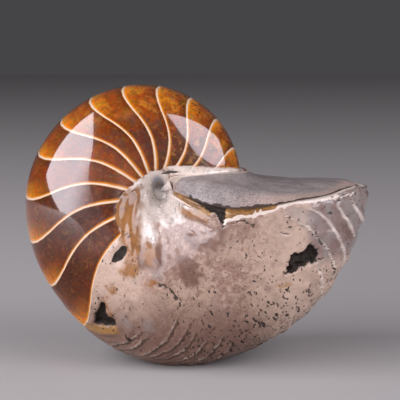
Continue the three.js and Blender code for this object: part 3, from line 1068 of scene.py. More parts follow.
class Recipe:
    """Builds the nodes of one material."""

    def __init__(self, name: str) -> None:
        """Starts an empty material.

        Args:
            name: the material's name.
        """
        self.material = bpy.data.materials.new(name)
        self.material.use_nodes = True
        self.tree = self.material.node_tree
        self.tree.nodes.clear()

    def node(self, kind: str, settings: dict[str, Any] | None = None,
             inputs: dict[Any, Any] | None = None, output: int | str = 0) -> Value:
        """Adds a node.

        Args:
            kind: the node's type.
            settings: its properties.
            inputs: numbers, colours or values for its sockets, by name or place.
            output: the socket whose value is wanted.

        Returns:
            The value of that socket.
        """
        node = self.tree.nodes.new(kind)
        for key, value in (settings or {}).items():
            setattr(node, key, value)
        for key, value in (inputs or {}).items():
            if isinstance(value, Value):
                self.tree.links.new(value.socket, node.inputs[key])
            else:
                node.inputs[key].default_value = value
        return Value(self, node.outputs[output])

    def read(self, name: str) -> Value:
        """The field of that name, stored on the piece's points."""
        return self.node("ShaderNodeAttribute", {"attribute_name": name}, output="Fac")

    def places(self) -> Value:
        """Object coordinates in millimetres."""
        spot = self.node("ShaderNodeTexCoord", output="Object")
        return self.node("ShaderNodeVectorMath", {"operation": "SCALE"}, {0: spot, "Scale": 1 / MM})

    def noise(self, places: Value, size: float, detail: float = 3.0, rough: float = 0.55,
              warp: float = 0.0) -> Value:
        """Cloudy noise.

        Args:
            places: where it is taken, in millimetres.
            size: the size of its lumps in millimetres.
            detail: how many finer layers are added.
            rough: the strength of each finer layer.
            warp: how much it is twisted.

        Returns:
            Numbers from 0 to 1.
        """
        return self.node("ShaderNodeTexNoise", None, {
            "Vector": places, "Scale": 1 / size, "Detail": detail, "Roughness": rough,
            "Distortion": warp,
        })

    def cells(self, places: Value, size: float) -> Value:
        """Distance to the nearest of points scattered size millimetres apart, in shares of that."""
        return self.node("ShaderNodeTexVoronoi", None, {"Vector": places, "Scale": 1 / size})

    def stretch(self, places: Value, scale: tuple[float, float, float],
                turn: tuple[float, float, float]) -> Value:
        """Places stretched and then turned, by factors and angles for X, Y and Z."""
        return self.node("ShaderNodeMapping", None, {"Vector": places, "Scale": scale, "Rotation": turn})

    def blend(self, share: Value | float, under: Value | Colour, over: Value | Colour,
              how: str = "MIX") -> Value:
        """One colour laid over another by a share, mixed in the way that how names."""
        return self.node("ShaderNodeMix", {"data_type": "RGBA", "blend_type": how},
                         {0: share, 6: under, 7: over}, output=2)

    def layers(self, colour: Value, *over: tuple[Value | float, Value | Colour]) -> Value:
        """Colours laid over one another in turn.

        Args:
            colour: the lowest.
            over: the share and colour of each layer, from the bottom up.

        Returns:
            The mixed colour.
        """
        for share, top in over:
            colour = self.blend(share, colour, top)
        return colour

    def finish(self, inputs: dict[str, Any]) -> bpy.types.Material:
        """Ends the material with its surface shader.

        Args:
            inputs: numbers, colours or values for the shader's sockets, by name.

        Returns:
            The material.
        """
        shader = self.node("ShaderNodeBsdfPrincipled", None, inputs)
        out = self.tree.nodes.new("ShaderNodeOutputMaterial")
        self.tree.links.new(shader.socket, out.inputs["Surface"])
        return self.material


class Value:
    """A number or colour that a node gives out, for use in Python arithmetic."""

    def __init__(self, recipe: Recipe, socket: bpy.types.NodeSocket) -> None:
        """Wraps an output socket of the material being built."""
        self.recipe = recipe
        self.socket = socket

    def _math(self, operation: str, *values: Any) -> Value:
        """Adds a Math node with these values on its sockets."""
        return self.recipe.node("ShaderNodeMath", {"operation": operation}, dict(enumerate(values)))

    def __add__(self, other: Any) -> Value:
        """Sum."""
        return self._math("ADD", self, other)

    def __radd__(self, other: Any) -> Value:
        """Sum with a plain number first."""
        return self._math("ADD", other, self)

    def __sub__(self, other: Any) -> Value:
        """Difference."""
        return self._math("SUBTRACT", self, other)

    def __rsub__(self, other: Any) -> Value:
        """Difference from a plain number."""
        return self._math("SUBTRACT", other, self)

    def __mul__(self, other: Any) -> Value:
        """Product."""
        return self._math("MULTIPLY", self, other)

    def __rmul__(self, other: Any) -> Value:
        """Product with a plain number first."""
        return self._math("MULTIPLY", other, self)

    def __truediv__(self, other: Any) -> Value:
        """Quotient."""
        return self._math("DIVIDE", self, other)

    def __abs__(self) -> Value:
        """Size without sign."""
        return self._math("ABSOLUTE", self)

    def fract(self) -> Value:
        """What is left above the whole number below."""
        return self._math("FRACT", self)

    def most(self, other: Any) -> Value:
        """The larger of two."""
        return self._math("MAXIMUM", self, other)

    def frayed(self, noise: Value, spread: float) -> Value:
        """Raised and lowered by a noise, half the spread each way."""
        return self + (noise - 0.5) * spread

    def ease(self, low: float, high: float) -> Value:
        """A smooth step.

        Args:
            low: where the step is 0.
            high: where it is 1; it may be the smaller of the two.

        Returns:
            Shares from 0 to 1.
        """
        flip = low > high
        bounds = (high, low) if flip else (low, high)
        step = self.recipe.node("ShaderNodeMapRange", {"interpolation_type": "SMOOTHSTEP"}, {
            "Value": self, "From Min": bounds[0], "From Max": bounds[1],
        })
        return 1.0 - step if flip else step


class ShellRecipe(Recipe):
    """A recipe with the noises and fields that all parts of the shell's finish draw on.

    Grain, fleck, cloud and drift are noises from the finest to the widest, near and wide are
    mixtures of them, rim is 1 along the keel, phase is the place in a chamber, and living is 1
    on the living chamber's skin.
    """

    def __init__(self, name: str) -> None:
        """Starts the material with their nodes.

        Args:
            name: the material's name.
        """
        super().__init__(name)
        self.at = self.places()
        self.grain = self.noise(self.at, 0.8, 4.0)
        self.fleck = self.noise(self.at, 2.4, 5.0, 0.62, 0.6)
        self.cloud = self.noise(self.at, 8.0, 4.0, 0.58, 0.8)
        self.drift = self.noise(self.at, 22.0, 3.0, 0.5, 0.4)
        self.near = self.cloud * 0.5 + self.fleck * 0.5
        self.wide = self.drift * 0.4 + self.cloud * 0.35 + self.fleck * 0.25
        self.flank = self.read("flank")
        self.rim = self.flank.ease(0.36, 0.06)
        self.phase = self.read("chamber").fract()
        self.living = self.read("living_mm").frayed(self.fleck, 0.7).ease(-0.2, 0.25)


@dataclass(frozen=True)
class ShellFinish:
    """Polished chambers of amber calcite and the creamy skin of the living chamber."""

    line_half_width: float = 0.3
    line: Colour = paint("dec6ac")
    line_warm: Colour = paint("c98a45")
    calcite_deep: Colour = paint("42190c")
    calcite: Colour = paint("7a3a12")
    calcite_mauve: Colour = paint("744436")
    amber: Colour = paint("ae4f00")
    amber_bright: Colour = paint("ff9c18")
    olive: Colour = paint("4c3414")
    straw: Colour = paint("a8743a")
    cream: Colour = paint("ba9f8a")
    tan: Colour = paint("8e7162")
    mauve: Colour = paint("7e6660")
    rose: Colour = paint("c9ae9c")
    pale: Colour = paint("e2d3c6")
    brown: Colour = paint("624337")
    # Painted shade for the furrows between the keel's ridges and along the ledges.
    furrow_shade: Colour = paint("4a342a")
    ochre: Colour = paint("94622f")
    umber: Colour = paint("704828")
    gold: Colour = paint("9e743a")
    rim: Colour = paint("7c5528")
    grey: Colour = paint("8a807a")
    # Grey-blue of the umbilicus's cone: partly its own grey, partly painted shade on its upper wall.
    cone_grey_and_shade: Colour = paint("8c92a2")
    nacre: Colour = paint("d6cbc0")
    dark: Colour = paint("1c130d")
    matrix: Colour = paint("3a3027")

    def material(self) -> bpy.types.Material:
        """Mixes the finish.

        The chambers and the living chamber are coloured apart and joined by the field
        "living_mm"; the umbilicus, the lip, the cracks and the holes are laid over both.

        Returns:
            The material.
        """
        r = ShellRecipe("fossil_shell")
        pits, dark_pits = self._pits(r)
        skin = r.blend(dark_pits, self._stained(r, self._bare_skin(r)), self.dark)
        colour = r.blend(r.living, self._chambers(r), skin)
        colour = self._edges(r, colour)
        crack = r.read("crack").frayed(r.grain, 0.5).ease(0.42, 0.7)
        hole = r.read("hole_mm").frayed(r.grain, 0.35).ease(-0.1, 0.25)
        inside = r.blend(r.fleck.ease(0.35, 0.75), self.dark, self.matrix)
        colour = r.layers(colour, (crack * 0.85, self.dark), (hole, inside))
        polished = 1.0 - r.living
        rough = r.living * (0.3 + (r.fleck - 0.5) * 0.3) + polished * (0.13 + (r.fleck - 0.5) * 0.1)
        rough = rough + polished * r.flank.ease(0.4, 0.54) * 0.22
        for share, least in ((r.read("cone_grey_and_shade"), 0.5), (dark_pits, 0.7), (crack, 0.7), (hole, 0.75)):
            rough = rough.most(share * least)
        coat = r.read("polish") * (1.0 - polished * r.flank.ease(0.42, 0.55))
        coat = coat * (1.0 - r.read("cone_grey_and_shade") * 0.8) * (1.0 - hole) * (1.0 - r.living * 0.5)
        relief = r.living * (r.fleck * 0.14 + r.grain * 0.06 - pits * 0.5) + hole * r.grain * 0.8
        bump = r.node("ShaderNodeBump", None, {"Strength": 0.8, "Distance": 0.0006, "Height": relief})
        return r.finish({
            "Base Color": colour, "Roughness": rough, "IOR": 1.4, "Normal": bump,
            "Coat Weight": coat, "Coat Roughness": 0.04, "Coat IOR": 1.72,
        })

    def _chambers(self, r: ShellRecipe) -> Value:
        """Colours of the polished chambers: calcite, crystals, lines, and the strip of cream.

        Args:
            r: the material being built.

        Returns:
            The colour.
        """
        colour = self._lines(r, self._crystals(r, self._calcite(r)))
        cream = r.read("cream_mm").frayed(r.fleck, 3.0).frayed(r.cloud, 2.0).ease(-0.5, 0.6)
        strip = r.blend(r.fleck.ease(0.45, 0.7) * 0.6, self.pale, self.grey)
        return r.blend(cream, colour, r.blend(r.cloud.ease(0.52, 0.7) * 0.4, strip, self.straw))

    def _calcite(self, r: ShellRecipe) -> Value:
        """Broad chamber colours: amber ahead of each line and on the keel, deep brown behind.

        Args:
            r: the material being built.

        Returns:
            The colour.
        """
        last = r.read("last")
        older_half = r.read("chamber").ease(8.0, 4.5)
        mauve = r.cloud.ease(0.42, 0.68) * r.flank.ease(0.12, 0.35)
        # The last chambers, at the lower left, are made deep brown: partly their own colour, partly
        # painted shade of the lower side.
        deep = last * (1.0 - r.rim * 0.6) * (0.65 + r.cloud.ease(0.4, 0.6) * 0.35)
        ahead = r.phase.frayed(r.cloud, 0.5).ease(0.3, 0.98) * (0.25 + r.rim * 0.75)
        sunlit = r.flank.ease(0.04, 0.14) * r.flank.ease(0.4, 0.28) * older_half
        behind = r.phase.frayed(r.fleck, 0.3).ease(0.32, 0.04)
        glow = r.rim * r.phase.frayed(r.fleck, 0.4).frayed(r.cloud, 0.3).ease(0.5, 0.98)
        return r.layers(
            r.blend(r.drift.ease(0.35, 0.62), self.calcite_deep, self.calcite),
            (mauve * 0.9, self.calcite_mauve),
            ((1.0 - last) * r.cloud.ease(0.65, 0.4) * 0.5, self.amber),
            (r.rim * 0.5, self.amber),
            (deep, self.calcite_deep),
            (ahead * (0.95 - last * 0.6), self.amber),
            (sunlit * r.cloud.ease(0.4, 0.62) * 0.6, self.amber_bright),
            (r.flank.ease(0.36, 0.5) * older_half * 0.6, self.calcite_deep),
            (behind * 0.6, self.calcite_deep),
            (glow * 0.9, self.amber_bright),
        )

    def _crystals(self, r: ShellRecipe, colour: Value) -> Value:
        """Olive and straw flecks, faces of single crystals, dark grain and fine veins.

        Args:
            r: the material being built.
            colour: what they lie on.

        Returns:
            The colour.
        """
        older = r.read("older")
        clumps = (r.cloud * 0.6 + r.fleck * 0.4).ease(0.5, 0.6)
        colour = r.layers(
            colour,
            (clumps * (0.1 + older * 0.5), self.olive),
            (r.fleck.ease(0.52, 0.62) * (0.3 + older * 0.5), self.olive),
            (r.fleck.ease(0.46, 0.36) * (0.2 + older * 0.55), self.straw),
        )
        faces = r.node("ShaderNodeTexVoronoi", None, {"Vector": r.at, "Scale": 0.55}, output="Color")
        veins = abs(r.noise(r.at, 6.0, 5.0, 0.6, 1.5) - 0.5).ease(0.012, 0.003)
        return r.layers(
            colour,
            (0.3, r.blend(1.0, colour, faces, "MULTIPLY")),
            (r.grain.ease(0.4, 0.7) * 0.3, self.calcite_deep),
            (veins * 0.2, self.straw),
        )

    def _lines(self, r: ShellRecipe, colour: Value) -> Value:
        """The lines where the chamber walls meet the skin, each in a warm edge and a glow.

        Args:
            r: the material being built.
            colour: what they lie on.

        Returns:
            The colour.
        """
        gap = (0.5 - abs(r.phase - 0.5)) * r.read("spacing_mm")
        width = 1.0 + r.rim * 0.5 + r.flank.ease(0.45, 0.7) * 0.4
        width = self.line_half_width * width.frayed(r.cloud, 0.9).frayed(r.fleck, 0.5)
        edge = gap.frayed(r.grain, 0.25) / width
        return r.layers(
            colour,
            (edge.ease(4.2, 1.2) * 0.55 * r.phase.ease(0.35, 0.65), self.amber_bright),
            (edge.ease(2.1, 1.1) * 0.75, self.line_warm),
            (edge.ease(1.3, 0.7), self.line),
        )

    def _bare_skin(self, r: ShellRecipe) -> Value:
        """The living chamber's skin: mottled cream and tan, lighter at both ends as painted light,
        darker below and in furrows as painted shade, grey near the tip.

        Args:
            r: the material being built.

        Returns:
            The colour.
        """
        # Painted light: the skin is made lighter and rosier towards its left and right ends.
        painted_side_light = r.read("painted_side_light")
        # Painted shade: the skin is darkened towards the bottom, fading out towards the right end.
        under = r.read("under").frayed(r.wide, 2.2).ease(0.0, 1.0)
        tip = r.read("tip").frayed(r.wide, 1.6).ease(0.1, 1.0)
        # Painted shade: the skin is darkened in the furrows between the keel's ridges and along the
        # ledges.
        furrow = (r.read("furrow") * 0.8).frayed(r.fleck, 2.0).ease(0.5, 0.95)
        furrow = furrow.most(r.read("ledge").frayed(r.fleck, 1.2).ease(0.3, 0.9))
        return r.layers(
            r.blend((r.wide + painted_side_light * 0.08).ease(0.44, 0.58), self.tan, self.cream),
            (r.near.ease(0.48, 0.62) * (0.75 - painted_side_light * 0.45), self.mauve),
            (r.fleck.ease(0.5, 0.66) * 0.55, self.rose),
            (r.fleck.ease(0.48, 0.34) * 0.4, self.brown),
            (r.grain.ease(0.52, 0.68) * 0.3, self.rose),
            (r.grain.ease(0.46, 0.34) * 0.25, self.brown),
            (painted_side_light * r.near.ease(0.64, 0.44) * 0.8, self.rose),
            (under * 0.85, self.brown),
            (tip * 0.95, r.blend(r.cloud.ease(0.42, 0.6), self.mauve, self.grey)),
            (furrow * 0.75, self.furrow_shade),
        )

    def _stained(self, r: ShellRecipe, skin: Value) -> Value:
        """The stains, the halo of the umbilicus and the pale scales over the skin.

        Args:
            r: the material being built.
            skin: the bare skin.

        Returns:
            The colour.
        """
        earth = r.blend(r.near.ease(0.44, 0.6) * 0.7, self.ochre, self.umber)
        for name, colour, strength in (
            ("grey", self.grey, 0.55), ("nacre", self.nacre, 0.85), ("brown", self.brown, 0.85),
            ("ochre", earth, 0.95), ("gold", self.gold, 0.8),
        ):
            share = (r.read(name) * 1.1).frayed(r.near, 1.5).frayed(r.grain, 0.6).ease(0.05, 1.05)
            skin = r.blend(share * strength, skin, colour)
        nacre = r.read("nacre")
        halo = r.read("halo").frayed(r.fleck, 0.5).ease(0.2, 0.8)
        shade = (r.fleck * 0.6 + r.grain * 0.4).ease(0.49, 0.57)
        # The pale of the lamellae is their own colour; along the ledges' edges it is a painted
        # highlight.
        pale = r.read("pale").frayed(r.fleck, 0.5) * (r.cloud * 1.4 + 0.2)
        return r.layers(
            skin,
            (r.read("brown") * r.grain.ease(0.45, 0.6) * 0.35, self.tan),
            (halo * 0.85, r.blend(r.cloud.ease(0.45, 0.75) * 0.3, self.nacre, self.grey)),
            (nacre * shade * 0.5, self.grey),
            (nacre * r.fleck.ease(0.46, 0.36) * 0.4, self.cream),
            (pale.ease(0.1, 0.85) * 0.8, self.pale),
        )

    def _edges(self, r: ShellRecipe, colour: Value) -> Value:
        """The umbilicus's cone, grey-blue above as its own grey and painted shade, lighter below as
        painted light, the stained rim and the pale line of the lip.

        Args:
            r: the material being built.
            colour: what they lie on.

        Returns:
            The colour.
        """
        cone_grey_and_shade = r.blend(r.cloud.ease(0.35, 0.65), self.cone_grey_and_shade, self.grey)
        # Painted light: the cone's lower part is turned from grey-blue to light nacre to offset its
        # shadow.
        light = r.read("cone_painted_light").frayed(r.fleck, 0.5).ease(0.0, 1.0)
        amber = r.blend(r.near.ease(0.42, 0.58), self.rim, self.gold)
        return r.layers(
            colour,
            (r.read("cone_grey_and_shade"), r.blend(light, cone_grey_and_shade, self.nacre)),
            (r.read("rim_gold").frayed(r.fleck, 0.5).ease(0.35, 0.65),
             r.blend(r.grain.ease(0.45, 0.65) * 0.5, amber, self.tan)),
            (r.read("lip_pale").frayed(r.grain, 0.7).ease(0.3, 0.6) * 0.85, self.pale),
        )

    def _pits(self, r: ShellRecipe) -> tuple[Value, Value]:
        """Dark pits, dashes along the growth lines and a few ragged specks.

        Each is what lies near one of scattered points, the dashes and slanted pits where the
        places are stretched first.

        Args:
            r: the material being built.

        Returns:
            The pits' depth, and the share of dark in them.
        """
        pitted = r.read("pitted")
        bend = r.noise(r.at, 1.1, 3.0)
        across = r.node("ShaderNodeCombineXYZ", None, {
            0: r.read("along_mm") + bend * 1.2, 1: r.read("across_mm") * 0.42 + bend * 0.9,
        })
        slanted = r.stretch(r.at, (1.0, 0.7, 0.5), (0.2, 0.6, 0.1))
        drawn_out = r.stretch(r.at, (1.0, 0.7, 0.55), (0.4, 0.3, 0.2))
        dashes = (r.cells(across, 2.3).frayed(bend, 0.5) - pitted * 0.12).ease(0.15, 0.09)
        slanted = (r.cells(slanted, 2.9).frayed(bend, 0.4) - pitted * 0.05).ease(0.13, 0.08)
        dots = (r.cells(r.at, 2.8).frayed(bend, 0.4) - pitted * 0.05).ease(0.12, 0.07)
        specks = r.cells(drawn_out, 1.9).frayed(bend, 0.4).ease(0.21, 0.14)
        rows = r.read("dash_rows").frayed(bend, 2.4).ease(0.9, 1.2)
        patchy = r.fleck * 0.5 + r.drift * 0.5
        pits = dashes.most(slanted).most(dots) * (patchy + pitted * 0.07).ease(0.5, 0.56)
        pits = pits.most(rows).most(specks * (patchy + pitted * 0.12).ease(0.54, 0.58))
        return pits, pits.ease(0.1, 0.5) * 0.9


@dataclass(frozen=True)
class StoneFinish:
    """Fine grey stone, speckled, with a beige band along the lip and a dark parting."""

    grey: Colour = paint("928782")
    dark_grey: Colour = paint("6f6664")
    beige: Colour = paint("b09688")
    cream: Colour = paint("c9b8a8")
    fleck_light: Colour = paint("bab0ab")
    fleck_dark: Colour = paint("37343a")
    parting: Colour = paint("3a291f")

    def material(self) -> bpy.types.Material:
        """Mixes the finish: grey, darker on the crest as painted shade, beige, flecks, cream and dark
        parting.

        Returns:
            The material.
        """
        r = Recipe("chamber_stone")
        at = r.places()
        grain = r.noise(at, 0.5, 2.0, 0.7)
        fleck = r.noise(at, 1.3, 4.0, 0.65)
        cloud = r.noise(at, 9.0, 3.0)
        parting = r.read("parting").frayed(fleck, 1.6).frayed(grain, 0.8).ease(0.35, 0.65)
        colour = r.layers(
            r.blend(cloud.ease(0.38, 0.65) * 0.6, self.grey, self.dark_grey),
            # Painted shade: the stone is darkened along the crest of its top.
            (r.read("crest") * 0.5, self.dark_grey),
            (r.read("beige").frayed(fleck, 1.2).ease(0.0, 1.0) * 0.85, self.beige),
            (grain.ease(0.53, 0.64) * 0.5, self.fleck_light),
            (grain.ease(0.44, 0.36) * 0.7, self.fleck_dark),
            (fleck.ease(0.4, 0.3) * 0.35, self.fleck_dark),
            (r.read("cream").frayed(fleck, 0.7).ease(0.35, 0.65), self.cream),
            (parting, self.parting),
        )
        rough = 0.4 + fleck * 0.2 + parting * 0.3
        relief = fleck * 0.4 + grain * 0.3
        bump = r.node("ShaderNodeBump", None, {"Strength": 0.6, "Distance": 0.0005, "Height": relief})
        return r.finish({"Base Color": colour, "Roughness": rough, "IOR": 1.5, "Normal": bump})


def dent_under_holes(holes: Sequence[Hole], rings: np.ndarray, margin: float,
                     extra: float) -> np.ndarray:
    """Moves points towards the plane of the coil where a hole's outline covers them.

    Args:
        holes: the holes.
        rings: points in millimetres.
        margin: how far beyond the outline the dent reaches.
        extra: how much deeper than the hole it goes.

    Returns:
        The moved points.
    """
    flat = Surface.seen_flat(rings)
    moved = rings.copy()
    for hole in holes:
        inside = hole.patch.inside(flat) + margin
        moved[..., 1] -= flat.side * (hole.depth + extra) * ease(inside, -1.0, 1.0)
    return moved


@dataclass(frozen=True)
class Heights:
    """How high or deep the relief of the skin is, in millimetres."""

    lamella: float = 0.4
    scale: float = 0.6
    scale_run: float = 5.0
    ledge: float = 0.6
    ledge_lip: float = 0.3
    swell: float = 0.16
    lump: float = 0.05
    last_furrow: float = 0.35
    crack: float = 0.45
    stained_rim: float = 0.2
    broken_gap: float = 1.6


@dataclass(frozen=True)
class Shell:
    """The coiled shell: skin, lip and the wall of the living chamber, one closed surface.

    Crowding pairs even steps across half the grid with their sides. Rows sweep back over the
    keel between sweep_starts and sweep_ends, and the bend at each end fades with its power.
    Stored distances stop at most_mm, that from the chambers' edge at far_mm, and inner_mm is
    what the inner wall has in its place.
    """

    chamber: Chamber = field(default_factory=Chamber)
    septa: Septa = field(default_factory=Septa)
    ridges: Ridges = field(default_factory=Ridges)
    damage: Damage = field(default_factory=Damage)
    stains: Stains = field(default_factory=Stains)
    folds: Folds = field(default_factory=Folds)
    heights: Heights = field(default_factory=Heights)
    finish: ShellFinish = field(default_factory=ShellFinish)
    early_rows: int = 84
    late_rows: int = 236
    near_columns: int = 170
    far_columns: int = 120
    depths: tuple[float, ...] = (0, 0.01, 0.1, 0.25, 0.4, 0.55, 0.7, 0.85, 1)
    cream_strip: Corners = ((0, 1.4), (0.25, 2.0), (0.5, 3.6), (0.65, 5.6), (0.8, 7.0), (1, 7.0))
    crowding: Corners = ((0, 0), (0.58, 0.55), (0.92, 0.9), (1, 1))
    sweep_starts: tuple[float, float] = (0.6, 0.72)
    sweep_ends: tuple[float, float] = (1.0, 0.84)
    contact_power: int = 5
    lip_power: int = 8
    cream_round: float = 5.4
    most_mm: float = 5.0
    far_mm: float = 20.0
    inner_mm: float = 10.0

    @cached_property
    def sides(self) -> np.ndarray:
        """Sides of the grid's columns, closer on the near flank than on the far one.

        Returns:
            Numbers that rise from -1 to 1, with 0 once.
        """
        halves = []
        for count in (self.near_columns, self.far_columns):
            place = np.linspace(0, 1, count + 1)
            halves.append(np.interp(place, *zip(*self.crowding)))
        return np.concatenate([-halves[0][::-1], halves[1][1:]])

    def surface(self) -> Surface:
        """The smooth outside on its grid.

        Rows run from the contact line to the lip: even turns, bent by high powers of the share
        of the way to follow each of the two near its own end, and swept back over the keel of
        the living chamber.

        Returns:
            The grid.
        """
        coil, mouth = self.chamber.mouth.coil, self.chamber.mouth
        first_late = self.chamber.last_septum / TURN
        early = np.linspace(0, first_late, self.early_rows, endpoint=False)
        late = np.linspace(first_late, 1, self.late_rows + 1)
        share = np.concatenate([early, late])[:, None]
        side = self.sides[None, :]
        start, end = mouth.contact_growth(side), mouth.lip_growth(side)
        living = ease(share, *self.sweep_starts) * ease(share, *self.sweep_ends)
        keel = np.clip(1 - np.abs(side) / coil.flank_end, 0, None) ** 2
        growth = share * TURN + start * (1 - share) ** self.contact_power + end * share**self.lip_power
        growth = growth - self.ridges.sweep * living * keel
        side = np.broadcast_to(side, growth.shape)
        r, y = coil.section(growth, side)
        late = np.clip((share - first_late) / (1 - first_late), 0, 1)
        return Surface(growth, side, np.broadcast_to(late, growth.shape), coil.place(growth, r, y))

    def living(self, surface: Surface) -> np.ndarray:
        """How far a surface is past the edge of the polished chambers.

        Args:
            surface: the grid.

        Returns:
            Millimetres past it, negative on the chambers, far_mm at most either way.
        """
        r, _ = self.chamber.mouth.coil.section(surface.growth, surface.side)
        past = self.septa.past_last(surface.growth, surface.side) * r
        callus = [patch.inside(surface) for patch in self.stains.callus]
        return np.clip(np.maximum(past, np.max(callus, axis=0)), -self.far_mm, self.far_mm)

    def broken(self, surface: Surface) -> np.ndarray:
        """Millimetres inside the broken-out gap at the lip, negative outside."""
        return np.max([patch.inside(surface) for patch in self.stains.void], axis=0)

    def sink(self, surface: Surface) -> np.ndarray:
        """How far the holes sink a surface: full depth inside, uneven, nothing past their rims.

        Args:
            surface: the grid.

        Returns:
            Millimetres.
        """
        depth = np.zeros(surface.side.shape)
        for hole in self.damage.holes:
            floor = hole.depth * (0.8 + 0.2 * ripple(surface.points, 3.5, Seed.HOLE_FLOOR))
            depth = np.maximum(depth, floor * ease(hole.patch.inside(surface), -hole.rim, 1.3))
        return depth

    def relief(self, surface: Surface) -> np.ndarray:
        """Height of the skin's own relief.

        Growth ridges, lamellae, ledges, folds, slow swells of the worn skin, the furrow along
        the last septum, cracks, the broken gap, then the holes; calmed in the umbilicus and
        at the lip.

        Args:
            surface: the grid.

        Returns:
            Millimetres outwards.
        """
        damage, stains, tall = self.damage, self.stains, self.heights
        living, flank = self.living(surface), np.abs(surface.side)
        skin = ease(living, 0, 1.5)
        steps = [scale.step(surface, tall.scale_run) for scale in damage.scales]
        height = self.ridges.lift(surface)
        height += tall.lamella * drawn(surface, damage.scales)
        height += tall.scale * strongest(flank.shape, steps)
        height -= tall.ledge * drawn(surface, damage.ledges, soft=True)
        height += tall.ledge_lip * drawn(surface, damage.ledge_lips_and_highlights, soft=True)
        height += self.folds.lift(surface) * skin
        height += skin * tall.swell * ripple(surface.points, 15, Seed.SWELL)
        height += skin * tall.lump * ripple(surface.points, 5, Seed.LUMP)
        height -= tall.last_furrow * ease(np.abs(living - 0.2), 1.2, 0.0) * ease(flank, 0.3, 0.5)
        height -= tall.crack * drawn(surface, damage.cracks)
        height -= tall.stained_rim * drawn(surface, stains.rim_gold, soft=1.4)
        height -= tall.broken_gap * drawn(surface, stains.void, soft=0.6)
        height -= self.sink(surface)
        calm = ease(flank, 1.0, 0.93)
        return height * calm * ease(surface.late, 1.004, 0.996).clip(0.35, 1)

    def fields(self, surface: Surface) -> dict[str, np.ndarray]:
        """All that the finish reads.

        Args:
            surface: the grid.

        Returns:
            Numbers for each point of the grid, by name.
        """
        stains = {
            name: drawn(surface, getattr(self.stains, name), soft=soft)
            for name, soft in self.stains.softness
        }
        return {
            **self._chamber_fields(surface), **self._border_fields(surface),
            **self._wear_fields(surface), **self._place_fields(surface), **stains,
        }

    def _chamber_fields(self, surface: Surface) -> dict[str, np.ndarray]:
        """The count of chambers, their spacing, and which are among the oldest and the last.

        Args:
            surface: the grid.

        Returns:
            Numbers for each point of the grid, by name.
        """
        r, _ = self.chamber.mouth.coil.section(surface.growth, surface.side)
        number = self.septa.number(surface.growth, surface.side)
        pace = np.gradient(number, axis=0) / np.maximum(np.gradient(surface.growth, axis=0), SMALL)
        return {
            "chamber": number,
            "spacing_mm": r / np.maximum(pace, SMALL),
            "older": ease(number, 5.5, 2.5),
            # The last chambers, at the lower left, which the finish darkens, partly as painted shade.
            "last": ease(number, 7.4, 10.6),
        }

    def _border_fields(self, surface: Surface) -> dict[str, np.ndarray]:
        """Where the kinds of surface meet: skin, holes, the cream strip and the umbilicus.

        The umbilicus is measured by ovals about a little beside the coil's axis.

        Args:
            surface: the grid.

        Returns:
            Numbers for each point of the grid, by name.
        """
        coil, mouth, most = self.chamber.mouth.coil, self.chamber.mouth, self.most_mm
        r, _ = coil.section(surface.growth, surface.side)
        living = self.living(surface)
        holes = np.max([hole.patch.inside(surface) for hole in self.damage.holes], axis=0)
        x, z = surface.points[..., 0] - coil.axis_x, surface.points[..., 2] - coil.axis_z
        pole = np.hypot(x + 1.0, (z - 0.9) * 0.68) + 0.3 * ripple(surface.points, 4, Seed.UMBILICUS)
        cone = np.hypot(x + 0.6, (z - 2.2) * 0.6) + 0.1 * ripple(surface.points, 3, Seed.CONE)
        above_contact = (surface.growth - mouth.contact_growth(surface.side)) * r
        strip = np.interp(np.abs(surface.side), *zip(*self.cream_strip))
        strip = strip * (1 + 0.08 * ripple(surface.points, 9, Seed.CREAM_STRIP))
        strip = np.where(surface.late <= 0, strip - above_contact, -most)
        cream = np.maximum(strip, np.where(living < 0, self.cream_round - pole, -most))
        return {
            "living_mm": living,
            "hole_mm": np.clip(np.maximum(holes, self.broken(surface)), -most, most),
            "cream_mm": np.clip(cream, -most, most),
            # Where the cone's grey-blue is painted, partly its own grey and partly painted shade.
            "cone_grey_and_shade": ease(cone, 3.8, 2.2),
            # Painted light: 1 on the lower part of the cone, where its colour is lightened.
            "cone_painted_light": 0.9 * ease(z + 0.3 * x, 3.6, -2.4) + ease(cone, 2.4, 3.4) * 0.4,
            "halo": ease(pole, 8.0, 5.0),
        }

    def _wear_fields(self, surface: Surface) -> dict[str, np.ndarray]:
        """Scales, cracks, ledges, dashes, pits, the furrows between ridges and the lip's edge.

        Args:
            surface: the grid.

        Returns:
            Numbers for each point of the grid, by name.
        """
        damage, stains = self.damage, self.stains
        x, z, flank = surface.points[..., 0], surface.points[..., 2], np.abs(surface.side)
        phase = self.ridges.phase(surface)
        furrow = np.maximum(ease(phase, 0.78, 0.9) * ease(phase, 1.0, 0.95), ease(phase, 0.14, 0.0))
        # Painted highlight: a pale line along each ledge's raised edge.
        lips_and_highlights = drawn(surface, damage.ledge_lips_and_highlights, soft=True)
        return {
            "pale": np.maximum(drawn(surface, damage.scales), 0.42 * lips_and_highlights),
            "lip_pale": drawn(surface, stains.pale_lines),
            "rim_gold": drawn(surface, stains.rim_gold, soft=0.3),
            "crack": drawn(surface, damage.cracks),
            "dash_rows": drawn(surface, stains.dash_rows),
            "ledge": drawn(surface, damage.ledges),
            "pitted": ease(x, -12, 34) * ease(z, 62, 26) * (0.35 + 0.65 * ease(flank, 0.55, 0.25)),
            "furrow": (1 - ease(flank, 0.12, 0.5)) * furrow * ease(surface.late, 0.0, 0.03),
        }

